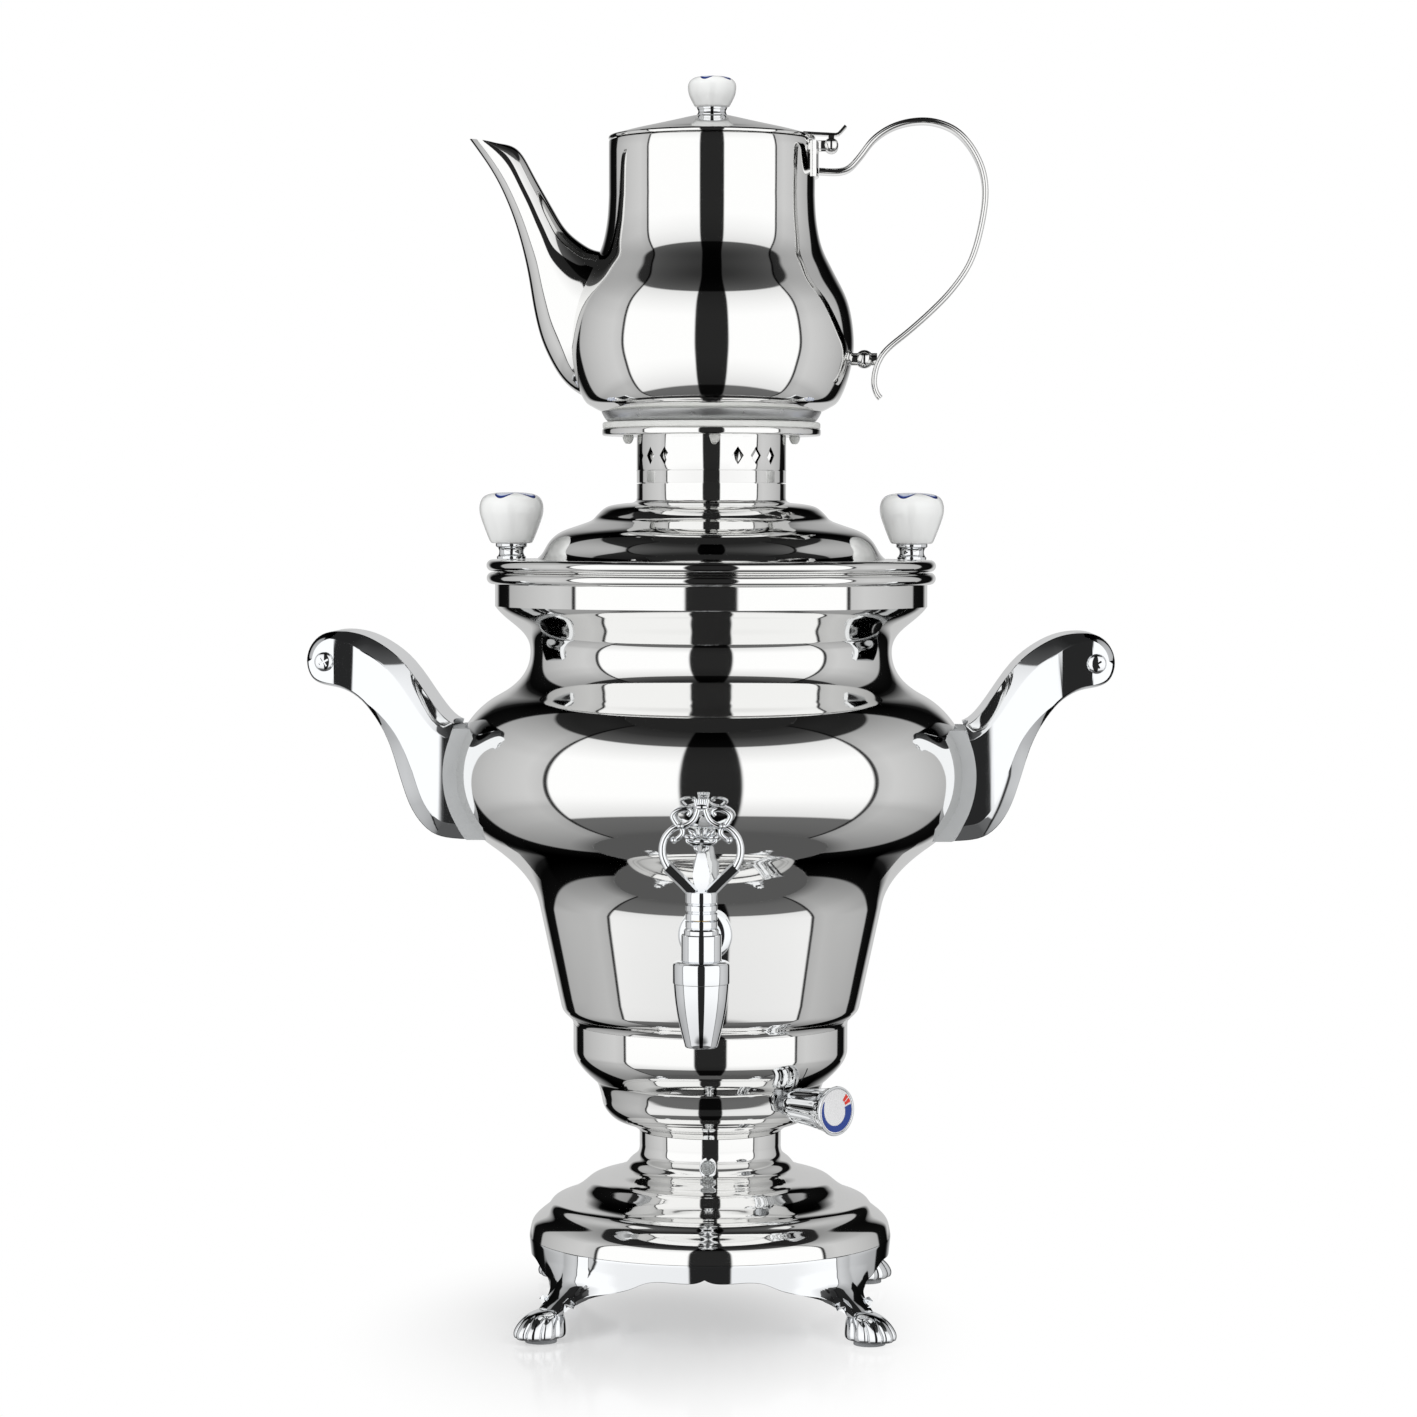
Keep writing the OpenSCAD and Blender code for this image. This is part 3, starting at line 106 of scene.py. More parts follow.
def eased(line, times):
    """The line with its bends made even, its ends kept."""
    for _ in range(times):
        line = [line[0]] + [(p + 2 * q + r) / 4 for p, q, r in zip(line, line[1:], line[2:])] + [line[-1]]
    return line


def flow(points, steps=8, relax=6):
    """A smooth line through the points: a spline, then eased."""
    line = []
    for i in range(len(points) - 1):
        a, b = Vector(points[max(i - 1, 0)]), Vector(points[i])
        c, d = Vector(points[i + 1]), Vector(points[min(i + 2, len(points) - 1)])
        for t in (j / steps for j in range(steps)):
            line.append(0.5 * (2 * b + (c - a) * t + (2 * a - 5 * b + 4 * c - d) * t * t
                               + (3 * b - a - 3 * c + d) * t ** 3))
    return [tuple(p) for p in eased(line + [Vector(points[-1])], relax)]


def read_off(table, at):
    """The second column of a table at a value of its first, between the rows."""
    for (x0, y0), (x1, y1) in zip(table, table[1:]):
        if at <= x1:
            return y0 + (y1 - y0) * max(0, at - x0) / (x1 - x0)
    return table[-1][1]


def meshed(bm, name, material=None):
    """Turns working geometry into a mesh and gives it its material."""
    mesh = bpy.data.meshes.new(name)
    bm.to_mesh(mesh)
    bm.free()
    if material:
        mesh.materials.append(material)
    return mesh


def stand(name, data):
    """A new object in the scene."""
    made = bpy.data.objects.new(name, data)
    bpy.context.scene.collection.objects.link(made)
    return made


def mark_creases(bm, crease, afresh=False):
    """Smooth faces, with sharp edges where they bend more than the crease angle."""
    for face in bm.faces:
        face.smooth = True
    for edge in bm.edges:
        bent = len(edge.link_faces) == 2 and edge.calc_face_angle(0) > math.radians(crease)
        edge.smooth = (edge.smooth or afresh) and not bent


def set_out(bm, name, material, body, node=(), crease=32):
    """Makes the piece from its geometry and sets it on its body."""
    bmesh.ops.remove_doubles(bm, verts=bm.verts, dist=1e-6)
    mark_creases(bm, crease)
    piece = stand(name, meshed(bm, name, material))
    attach(piece, body)
    if node:
        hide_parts(node)
    return piece


def settle(piece, crease=32):
    """Applies a piece's modifiers to its mesh and marks the creases afresh."""
    graph = bpy.context.evaluated_depsgraph_get()
    mesh = bpy.data.meshes.new_from_object(piece.evaluated_get(graph))
    piece.modifiers.clear()
    piece.data = mesh
    bm = bmesh.new()
    bm.from_mesh(mesh)
    mark_creases(bm, crease, True)
    bm.to_mesh(mesh)
    bm.free()


def verts_of(geometry):
    return [v for v in geometry if isinstance(v, bmesh.types.BMVert)]


SEAM_Z, SEAM_R, PLINTH_LOW_R = 33.2, 76.2, 74.6
LEG_R = 84
# Lower edge of a half bay: degrees from the bay's middle, height
scallop = [(0, 27.2), (1.6, 26.2), (4, 25.5), (8.5, 25.5), (13, 25.8), (17, 25.4), (20, 24.2), (24, 21.8),
           (28.4, 20), (33, 18.9), (36, 18.3), (38.6, 16.6), (40.2, 13.8), (41.3, 11), (41.9, 8.6),
           (42.1, 6.6)]
edge_line = [scallop[0]] + flow(scallop, 4, 2)[1:] + [(42.9, 6.5), (43.6, 6.5), (44.3, 6.5), (45, 6.5)]
# A leg's outer face: height, radius
leg_sweep = [(6.5, 96), (11, 92.4), (14.5, 88), (18, 83), (22, 78.6), (27, 76.4), (33.2, 76.2)]


def skirt_radius(z, away):
    """Radius of the casting's face; away is the distance from the leg's middle in mm."""
    wall = PLINTH_LOW_R + (SEAM_R - PLINTH_LOW_R) * min(1, (z - 16.5) / (SEAM_Z - 16.5) * 1.05)
    blend = max(0, 1 - (away / 26) ** 2)
    crown = 1.1 * max(0, 1 - (away / 8) ** 2)
    return wall + max(read_off(leg_sweep, z) + crown - wall, 0) * blend ** 1.5


bm = bmesh.new()
ROWS, COLUMNS = 22, len(edge_line)
skirt = []
for r in range(ROWS):
    t = r / (ROWS - 1)
    row = []
    for c, (angle, low) in enumerate(edge_line):
        top = 45 * (c / (COLUMNS - 1)) ** 1.15
        spread = top + (angle - top) * t ** 1.25
        z = SEAM_Z - 0.15 + (low - SEAM_Z + 0.15) * t
        radius = skirt_radius(z, math.radians(45 - spread) * LEG_R)
        row.append(bm.verts.new(Vector((radius * math.sin(math.radians(spread)),
                                        -radius * math.cos(math.radians(spread)), z)) * MM))
    skirt.append(row)
for upper, lower in zip(skirt, skirt[1:]):
    for c in range(COLUMNS - 1):
        bm.faces.new((upper[c], lower[c], lower[c + 1], upper[c + 1]))
bmesh.ops.mirror(bm, geom=bm.verts[:] + bm.edges[:] + bm.faces[:], axis="X", merge_dist=1e-5)
quarter = bm.verts[:] + bm.edges[:] + bm.faces[:]
for turn in (90, 180, 270):
    copy = bmesh.ops.duplicate(bm, geom=quarter)["geom"]
    bmesh.ops.rotate(bm, verts=verts_of(copy), matrix=Matrix.Rotation(math.radians(turn), 3, "Z"))
bmesh.ops.remove_doubles(bm, verts=bm.verts, dist=2e-5)
bmesh.ops.recalc_face_normals(bm, faces=bm.faces)
outward = [f for f in bm.faces if f.normal.xy.dot(f.calc_center_median().xy) > 0]
if len(outward) < len(bm.faces) / 2:
    bmesh.ops.reverse_faces(bm, faces=bm.faces)
plinth = set_out(bm, "plinth", chrome_plate, "urn", "base_plinth", 50)
wall = plinth.modifiers.new("wall", "SOLIDIFY")
wall.thickness, wall.offset, wall.use_even_offset = 2.2 * MM, -1, False
rounding = plinth.modifiers.new("rounding", "BEVEL")
rounding.width, rounding.segments, rounding.limit_method, rounding.angle_limit = 0.45 * MM, 2, "ANGLE", 0.9
settle(plinth, 40)


# ---------------------------------------------------------------- paws and pads
# Each leg stands in a chromed cast paw, swelling into five toes with grooves between them, on a
# grey rubber pad.
def stacked(rings, bm=None):
    """Adds a closed body through rings of points that lie one behind the other."""
    bm = bm if bm is not None else bmesh.new()
    loops = []
    for ring in rings:
        verts = [bm.verts.new(Vector(p) * MM) for p in ring]
        loops.append([bm.edges.new((verts[i], verts[(i + 1) % len(verts)])) for i in range(len(verts))])
    for a, b in zip(loops, loops[1:]):
        bmesh.ops.bridge_loops(bm, edges=a + b)
    for end in (loops[0], loops[-1]):
        bmesh.ops.contextual_create(bm, geom=end)
    bmesh.ops.recalc_face_normals(bm, faces=bm.faces)
    return bm


TOE_APART, TOES_OVER, TOES_FADE = 40, 100, 24
PAW_HALF_LONG, PAW_HALF_WIDE, PAW_POINTS = 11.8, 9.2, 108
# Height, share of the full width, middle of the ring along the leg's direction
paw_rings = flow([(12.9, 0.34, 90.6), (12.4, 0.5, 91.1), (11.1, 0.7, 92.2), (8.8, 0.86, 93.6),
                  (6.2, 0.96, 94.7), (4.2, 1.0, 95.1), (2.9, 0.99, 95.1)], 4,
                  2) + [(2.3, 0.965, 95.1), (2.02, 0.92, 95.1)]


def paw(direction):
    """One paw: rings from the ankle down, drawn in between the toes."""
    turn = Matrix.Rotation(math.radians(direction), 3, "Z")
    rings = []
    for z, share, middle in paw_rings:
        depth = 0.13 * min(1, max(0, (12.4 - z) / 5))
        ring = []
        for k in range(PAW_POINTS):
            angle = (k * 360 / PAW_POINTS + 180) % 360 - 180
            fade = min(1, max(0, (TOES_OVER + TOES_FADE - abs(angle)) / TOES_FADE))
            groove = 1 - abs(math.cos(math.pi * angle / TOE_APART)) ** 0.55
            reach = share * (1 - depth * fade * groove)
            ring.append(turn @ Vector((middle + PAW_HALF_LONG * reach * math.cos(math.radians(angle)),
                                       PAW_HALF_WIDE * reach * math.sin(math.radians(angle)), z)))
        rings.append(ring)
    return stacked(rings)


for name, direction in (("front_left", 225), ("front_right", 315), ("rear_left", 135), ("rear_right", 45)):
    set_out(paw(direction), "paw_" + name + "_cast", chrome_plate, "urn", "paw_" + name,
            60)


def moulded(name, code, roughness, grain_mm, grain_height, specular=0.5):
    """A moulded plastic or rubber: one colour, slightly mottled, with a fine grain."""
    material, shader = surface(name, {"Roughness": roughness, "Specular IOR Level": specular})
    place = add(material, "TexCoord")
    mottle = add(material, "TexNoise", {"Vector": (place, "Object"), "Scale": 1 / (9 * MM), "Detail": 4.0})
    tone = add(material, "ValToRGB", {"Fac": (mottle, "Fac")})
    for element, share in zip(tone.color_ramp.elements, (0.92, 1.06)):
        element.color = [min(1, c * share) for c in linear(code)[:3]] + [1]
    wire(material, shader, {"Base Color": (tone, "Color")})
    grain = add(material, "TexNoise", {"Vector": (place, "Object"), "Scale": 1 / (grain_mm * MM)})
    emboss(material, shader, grain, 0.6, grain_height)
    return material


def refinish(nodes, material):
    """Gives CAD pieces their material."""
    for node in nodes.split():
        cad[node].data.materials.clear()
        cad[node].data.materials.append(material)


# Grey rubber, moulded: matt, so the pad shows no highlight
refinish("foot_pads", moulded("grey nitrile rubber, moulded", "#8A8C8E", 0.75, 0.5, 0.03, 0.35))


# ---------------------------------------------------------------- bottom cover and tie rod
# Zinc plated steel closes the base from below: a vented disc on four screws, and above it the
# bridge bar, rod and nut that clamp dome, bowl, cup and urn into one stack.
def brushed_metal(name, code, roughness, line_mm):
    """Metal with fine lines from brushing or turning, drawn as coarse as they need to show."""
    material = polished_metal(name, code, roughness, 5, 0.01)
    place = add(material, "TexCoord")
    lines = add(material, "Mapping", {"Vector": (place, "Object"), "Scale": (0.03, 1, 1)})
    grain = add(material, "TexNoise",
                {"Vector": (lines, "Vector"), "Scale": 1 / (line_mm * MM), "Detail": 2.0})
    emboss(material, material.node_tree.nodes["Principled BSDF"], grain, 0.5, 0.02)
    return material


# Zinc plate on steel, satin: a soft grey shine with a fine brushed line
satin_zinc = brushed_metal("zinc plated steel, satin", "#C3C6C9", 0.3, 0.25)
refinish("paw_screws bottom_cover cover_screws base_bridge tie_rod tie_nut thermostat thermostat_nut"
         " handle_screws tap_nut lid_knob_screws", satin_zinc)
# Aluminium, sawn and brushed: lighter and duller than zinc
refinish("heater_plate", brushed_metal("aluminium plate, brushed", "#D2D3D4", 0.38, 0.4))
# Brass, turned: warm, with the same fine lines
refinish("tap_plug", brushed_metal("brass, turned", "#D9B66A", 0.22, 0.3))
# Copper tube, drawn: a dull pink shine
refinish("thermostat_probe", brushed_metal("copper tube, drawn", "#D98E66", 0.28, 0.4))
# Nylon, ivory block resin, silicone lead insulation and the oxidised element tube, all inside
refinish("cable_gland", moulded("dark grey nylon, moulded", "#2E3033", 0.5, 0.4, 0.02))
refinish("terminal_block", moulded("ivory polyamide, moulded", "#E4DCC4", 0.45, 0.4, 0.02))
refinish("thermal_cutout", moulded("phenolic resin, moulded", "#8A6B4C", 0.5, 0.4, 0.02))
refinish("wiring", moulded("red silicone insulation", "#9E2A22", 0.55, 0.5, 0.02))
refinish("heating_element", brushed_metal("stainless element tube, blued by heat", "#5A5654", 0.45, 0.3))


# ---------------------------------------------------------------- base dome and pilot lamp
# The dome is a spun stainless shell, pressed in rings, that rests on the plinth's seam. A
# small clear lens in front, in a chromed bezel, shows when the heater is on.
SHEET = 0.8


def offset_line(line):
    """The line moved by the sheet's thickness to its left, its ends moved level."""
    inner = []
    for i, p in enumerate(line):
        if i in (0, len(line) - 1):
            inner.append((p[0] - SHEET, p[1]))
            continue
        across = (Vector(line[i + 1]) - Vector(line[i - 1])).normalized()
        inner.append((max(p[0] - SHEET * across.y, 0), p[1] + SHEET * across.x))
    return inner


def spun(profile, turns=168):
    """A body turned from its closed profile of radius and height, round a plumb axis."""
    bm = bmesh.new()
    ring = [bm.verts.new((r * MM, 0, z * MM)) for r, z in profile]
    edges = [bm.edges.new(p) for p in zip(ring, ring[1:] + ring[:1])]
    bmesh.ops.spin(bm, geom=ring + edges, cent=(0, 0, 0), axis=(0, 0, 1), dvec=(0, 0, 0),
                   angle=math.tau, steps=turns, use_merge=True)
    bmesh.ops.remove_doubles(bm, verts=bm.verts, dist=2e-6)
    bmesh.ops.dissolve_degenerate(bm, edges=bm.edges, dist=1e-7)
    bmesh.ops.recalc_face_normals(bm, faces=bm.faces)
    return bm


def shell(line, turns=168):
    """A spun sheet with this outer line."""
    return spun(line + offset_line(line)[::-1], turns)


def at(x, y, z, degrees=0, axis="Z"):
    """A place in mm with a turn about one axis."""
    return Matrix.Translation(Vector((x, y, z)) * MM) @ Matrix.Rotation(math.radians(degrees), 4, axis)


def placed(bm, matrix):
    """The geometry, moved."""
    bmesh.ops.transform(bm, matrix=matrix, verts=bm.verts)
    return bm


dome_line = flow([(76.2, 33.2), (75.6, 36.5), (74.7, 39.1), (72.4, 41.6), (68.6, 44.6), (66.8, 47.1),
                  (64.8, 48.5), (61.2, 49.6), (57.2, 51.8), (54.9, 53.3), (52.8, 55), (50.3, 57),
                  (47.3, 58.2), (43.7, 59), (40.2, 60.4), (36.4, 61.8), (33.6, 65), (30.6, 67.4),
                  (29.8, 70), (29.8, 72.2)], 6, 3)
set_out(shell(dome_line + [(29.8, 77.2)]), "base_dome_spun", mirror_sheet, "urn",
        "base_dome")

# Clear acrylic, moulded with flat facets
clear, _ = surface("acrylic, moulded clear, faceted lens", {
    "Base Color": linear("#E9ECEC"), "Roughness": 0.06, "IOR": 1.49, "Transmission Weight": 0.75})
at_lamp = at(0, 0, 66.3, 90, "X")
lens = placed(spun([(0, 24), (3, 24), (3, 35.4), (2.4, 36.2), (1.3, 36.8), (0, 36.8)], 8), at_lamp)
set_out(lens, "pilot_lamp_lens", clear, "urn", "pilot_lamp", 15)
bezel = placed(spun([(3.02, 28), (3.5, 28), (3.5, 34.9), (3.3, 35.4), (3.02, 35.3)], 48), at_lamp)
set_out(bezel, "pilot_lamp_bezel", chrome_plate, "urn")


# ---------------------------------------------------------------- thermostat bowl and its knob
# A spun bowl holds the thermostat. Its knob is a chromed fluted barrel with a flared rim, and
# in its face sits a light grey plate printed with a blue arc and two red marks.
bowl_line = flow([(29.8, 77.3), (33.2, 79.8), (40.3, 82.5), (44.7, 87.3), (46, 92.4), (47.5, 97.3),
                  (49.1, 99)], 9, 4)
set_out(shell(bowl_line), "thermostat_bowl_spun", mirror_sheet, "urn", "thermostat_bowl")

DIAL_TURN, DIAL_Z, DIAL_TOP = -45, 93, 75.3
FLUTES, FLUTE_LOW, FLUTE_HIGH = 12, 51, 72.5
to_dial = at(0, 0, DIAL_Z, DIAL_TURN) @ at(0, 0, 0, 90, "Y")
barrel_side = flow([(7.2, 53), (7.8, 61.5), (8.4, 66), (9, 70.5), (9.65, 73.4), (10.1, 74.4)], 4, 2)
barrel = spun([(0, 49.4), (5.6, 49.4), (6.6, 51)] + barrel_side
              + [(10.25, 74.9), (10.05, 75.4), (9.6, 75.5), (9.2, 75.35), (9.1, 74.6), (0, 74.6)], 144)
for vert in barrel.verts:
    along, radius = vert.co.z / MM, vert.co.xy.length / MM
    if FLUTE_LOW < along < FLUTE_HIGH and radius > 5:
        fade = min(1, (along - FLUTE_LOW) / 2) * min(1, (FLUTE_HIGH - along) / 3)
        groove = 0.5 - 0.5 * math.cos(FLUTES * math.atan2(vert.co.y, vert.co.x))
        vert.co.xy *= 1 - 0.1 * fade * groove ** 0.7
set_out(placed(barrel, to_dial), "thermostat_knob_barrel", chrome_plate, "thermostat_knob",
        "knob_barrel", 40)

# Printed aluminium foil plate under clear lacquer: light grey, glossy
dial_plate = moulded("light grey lacquered plate", "#E2E2E3", 0.25, 1.5, 0.004)
dial_blue = moulded("blue printing ink under lacquer", "#17398C", 0.3, 1.5, 0.004)
dial_red = moulded("red printing ink under lacquer", "#D7301F", 0.3, 1.5, 0.004)
plate = spun([(0, 74.65), (9.05, 74.65), (9.05, 75.22), (8.9, DIAL_TOP), (0, DIAL_TOP)], 96)
set_out(placed(plate, to_dial), "thermostat_dial_plate", dial_plate, "thermostat_knob",
        "knob_dial")


def printed(name, material, start, end, outer, inner_at, steps):
    """A printed band on the dial, from one clock angle to another, in degrees from 3 o'clock."""
    bm = bmesh.new()
    bmesh.ops.create_grid(bm, x_segments=steps, y_segments=1, size=0.5)
    for vert in bm.verts:
        t = vert.co.x + 0.5
        angle = math.radians(start + (end - start) * t)
        radius = outer if vert.co.y > 0 else inner_at(t)
        # the dial's right is the barrel frame's +Y turned back, its up is -X
        vert.co = Vector((-radius * math.sin(angle), radius * math.cos(angle), DIAL_TOP + 0.03)) * MM
    bmesh.ops.recalc_face_normals(bm, faces=bm.faces)
    if sum(f.normal.z for f in bm.faces) < 0:
        bmesh.ops.reverse_faces(bm, faces=bm.faces)
    top = bmesh.ops.extrude_face_region(bm, geom=bm.faces[:])["geom"]
    bmesh.ops.translate(bm, verts=verts_of(top), vec=(0, 0, 0.05 * MM))
    bmesh.ops.recalc_face_normals(bm, faces=bm.faces)
    set_out(placed(bm, to_dial), name, material, "thermostat_knob")


printed("thermostat_dial_arc", dial_blue, 16, -212, 8.6, lambda t: 8.6 - 3.5 * (1 - t) ** 0.6 - 0.3, 72)
for k, angle in enumerate((45, 29)):
    printed("thermostat_dial_mark_%d" % (k + 1), dial_red, angle + 6.2, angle - 6.2, 8.5, lambda t: 5.4, 4)


# ---------------------------------------------------------------- cup under the urn
# A plain spun cup carries the urn. A short dark line above the knob is its index mark.
def bend(a, b, c, d, steps=12):
    """A Bezier bend from a to d."""
    a, b, c, d = (Vector(p) for p in (a, b, c, d))
    return [tuple((1 - t) ** 3 * a + 3 * (1 - t) ** 2 * t * b + 3 * (1 - t) * t * t * c + t ** 3 * d)
            for t in (i / steps for i in range(steps + 1))]


cup_line = bend((49.1, 99), (52.3, 102), (57.75, 106.6), (57.75, 112), 18) + [(57.75, 122.55)]
set_out(shell(cup_line), "lower_cup_spun", mirror_sheet, "urn", "lower_cup")

MARK_Z, MARK_HIGH, MARK_WIDE = 103.2, 5.4, 0.6
bm = bmesh.new()
bmesh.ops.create_grid(bm, x_segments=1, y_segments=10, size=0.5)
for vert in bm.verts:
    z = MARK_Z + MARK_HIGH * (vert.co.y + 0.5)
    radius = read_off([(p[1], p[0]) for p in cup_line], z) + 0.04
    angle = math.radians(DIAL_TURN + 1.2) + vert.co.x * MARK_WIDE / radius
    vert.co = Vector((radius * math.cos(angle), radius * math.sin(angle), z)) * MM
bmesh.ops.recalc_face_normals(bm, faces=bm.faces)
if bm.faces[:][0].normal.x < 0:
    bmesh.ops.reverse_faces(bm, faces=bm.faces)
index_ink = moulded("dark etched mark", "#26282A", 0.6, 0.5, 0.01)
mark = set_out(bm, "index_mark", index_ink, "urn")
mark.modifiers.new("ink", "SOLIDIFY").thickness = 0.05 * MM
settle(mark)


# ---------------------------------------------------------------- urn
# The urn is spun from stainless sheet and mirror polished: a cone, a bulging belly, a waist and
# a collar that ends in a rolled bead. A flat plate closes its bottom over the heater.
BELLY_R, BELLY_Z, BELLY_ARC = 71.6, 228.5, 36.8
BELLY_LOW, BELLY_HIGH = -55, 62
CONE_LOW, CONE_HIGH, NECK, COLLAR = Vector((62.8, 130.2)), Vector((72, 173)), (75.8, 279.3), (90.6, 298.2)


def on_belly(angle, grow=0.0):
    """A point of the belly's arc, or of one this much larger."""
    return (BELLY_R + (BELLY_ARC + grow) * math.cos(math.radians(angle)),
            BELLY_Z + (BELLY_ARC + grow) * math.sin(math.radians(angle)))


def leaning(p, angle, reach):
    """A point on the belly's tangent, which runs upwards."""
    return (p[0] - reach * math.sin(math.radians(angle)), p[1] + reach * math.cos(math.radians(angle)))


low, high = on_belly(BELLY_LOW), on_belly(BELLY_HIGH)
shoulder_k = math.dist(low, CONE_HIGH) / 3
waist_k = math.dist(high, NECK) / 2.6
collar_k = math.hypot(14.8, 18.9) / 2.6
cone = CONE_HIGH - CONE_LOW
urn_line = bend((57.75, 122.6), (58.15, 126.1), (61.9, 126.2), CONE_LOW, 12)
urn_line += [tuple(CONE_LOW + cone * t / 8) for t in range(1, 8)]
urn_line += bend(CONE_HIGH, CONE_HIGH + shoulder_k * cone.normalized(),
                 leaning(low, BELLY_LOW, -shoulder_k), low, 26)
urn_line += [on_belly(a) for a in range(BELLY_LOW + 3, BELLY_HIGH - 1, 3)]
urn_line += bend(high, leaning(high, BELLY_HIGH, waist_k), (NECK[0], NECK[1] - waist_k), NECK, 26)
urn_line += bend(NECK, (NECK[0], NECK[1] + collar_k),
                 (COLLAR[0] - 0.55 * collar_k, COLLAR[1] - 0.8 * collar_k), COLLAR, 22)[1:]
urn_line += [(90.6, 309.4)]


def bead(r, z, half, turns=180):
    """A rolled bead."""
    return spun([(r + half * math.cos(math.radians(a)), z + half * math.sin(math.radians(a)))
                 for a in range(0, 360, 15)], turns)


def gather(*parts):
    """Several bodies as one."""
    whole = bmesh.new()
    for part in parts:
        step = meshed(part, "step")
        whole.from_mesh(step)
        bpy.data.meshes.remove(step)
    return whole


floor_plate = spun([(0, 125), (58.9, 125), (59.9, 126), (0, 126)], 120)
set_out(gather(shell(urn_line, 180), bead(91.6, 309.9, 2.5), floor_plate), "urn_spun", mirror_sheet, "urn",
        "urn_body")


# ---------------------------------------------------------------- side handles
# Each handle is a hollow chromed casting over a black moulded core, on a pale gasket. Its
# sides are chamfered towards the outline and draw in a little towards the nose. Two screws
# from inside the urn hold it, and two pan screws close its nose.
handle_top = [(94.4, 249.5), (105.4, 249), (113.4, 255.5), (126.5, 274.5), (139.4, 284.2), (150, 287.6),
              (160, 287.2), (166, 282.2)]
handle_low = [(168, 275.2), (166, 268.7), (161, 265.6), (152, 263.7), (143, 257.2), (134.2, 243.5),
              (129, 227.5), (123.9, 213.5), (115.6, 204), (104.4, 201.5), (86.4, 201.5)]
outline = flow(handle_top + handle_low, 5, 3)
nose = max(range(len(outline)), key=lambda i: outline[i][0])


def chamfer_share(i):
    """Share of the chamfer's full depth here: it runs out towards the nose, sooner below than above."""
    full, gone, least = (141, 158, 0.42) if i < nose else (129, 143, 0.2)
    return least + (1 - least) * min(1, max(0, (gone - outline[i][0]) / (gone - full)))


def inset_line(line, depth):
    """The closed outline, listed clockwise, moved inwards."""
    moved = []
    for i, p in enumerate(line):
        along = (Vector(line[(i + 1) % len(line)]) - Vector(line[i - 1])).normalized()
        reach = depth * chamfer_share(i)
        moved.append((p[0] + reach * along.y, p[1] - reach * along.x))
    return moved


def cut(piece, cutter_bm, crease=32):
    """Cuts a closed body out of a piece."""
    cutter = stand("cutter", meshed(cutter_bm, "cutter"))
    step = piece.modifiers.new("cut", "BOOLEAN")
    step.operation, step.solver, step.object = "DIFFERENCE", "EXACT", cutter
    settle(piece, crease)
    bpy.data.objects.remove(cutter)


GRIP_Y, CHAMFER_IN, CHAMFER_Y = 28, 6.5, 5.0
NOSE_SCREW_X, NOSE_SCREW_Y, NOSE_SCREW_Z, SEAT_Y = 160, 25.4, 275.2, 26.4
# The grip in plan: it is fullest at the urn, draws in and ends in a rounded nose. Distance, half width
grip_plan = flow([(80, 28), (98, 28), (111, 28), (116, 27.8), (123, 27.2), (130, 26.5), (137, 25.85),
                  (144, 25.25), (148, 25.1), (153, 25.3), (157, 25.4), (160, 25.25), (163, 24.9),
                  (166, 24.3), (169, 23.4)], 5, 2)


for side, name in ((1, "right"), (-1, "left")):
    rings = []
    for y, depth in ((-GRIP_Y, CHAMFER_IN), (-GRIP_Y + 0.25, CHAMFER_IN - 0.5), (-GRIP_Y + CHAMFER_Y, 0.25),
                     (-GRIP_Y + CHAMFER_Y + 0.5, 0), (GRIP_Y - CHAMFER_Y - 0.5, 0),
                     (GRIP_Y - CHAMFER_Y, 0.25), (GRIP_Y - 0.25, CHAMFER_IN - 0.5), (GRIP_Y, CHAMFER_IN)):
        rings.append([(side * p[0], y, p[1]) for p in inset_line(outline, depth)])
    grip = stacked(rings)
    for x in range(88, 168, 2):
        sides = [f for f in grip.faces if abs(f.normal.y) > 0.999]
        parts = {e for f in sides for e in f.edges} | {v for f in sides for v in f.verts}
        bmesh.ops.bisect_plane(grip, geom=sides + list(parts), plane_co=(side * x * MM, 0, 0),
                               plane_no=(1, 0, 0))
    for vert in grip.verts:
        vert.co.y *= read_off(grip_plan, abs(vert.co.x) / MM) / GRIP_Y
    handle = set_out(grip, name + "_handle_cast", chrome_plate, "urn", name + "_handle")
    belly = [(0, 190)] + [on_belly(a, 5.6) for a in range(-66, 62, 3)] + [(0, 262)]
    cut(handle, spun(belly, 240), 18)
    for y in (-1, 1):
        seat = bmesh.new()
        bmesh.ops.create_cone(seat, cap_ends=True, segments=48, radius1=4.1 * MM, radius2=4.1 * MM,
                              depth=4 * MM, matrix=at(side * NOSE_SCREW_X, y * SEAT_Y, NOSE_SCREW_Z, 90,
                                                      "X"))
        cut(handle, seat, 18)

# Silicone gasket, pale grey and matt
gasket_silicone = moulded("pale grey silicone, moulded", "#B4B6B7", 0.6, 0.6, 0.02, 0.4)
refinish("handle_gaskets handle_seals tap_gasket", gasket_silicone)
# Black phenolic resin, moulded, inside the covers
refinish("left_handle_core right_handle_core",
         moulded("black phenolic resin, moulded", "#1D1D1F", 0.5, 0.5, 0.03))


def box_at(place, size):
    """A box of this size in mm."""
    bm = bmesh.new()
    bmesh.ops.create_cube(bm, size=1, matrix=place @ Matrix.Diagonal([s * MM for s in size] + [1]))
    return bm


def carved(bm, cutters, crease=32):
    """The body with others cut out of it, for further work."""
    step = stand("step", meshed(bm, "step", chrome_plate))
    for cutter in cutters:
        cut(step, cutter, crease)
    bm = bmesh.new()
    bm.from_mesh(step.data)
    bpy.data.objects.remove(step)
    return bm


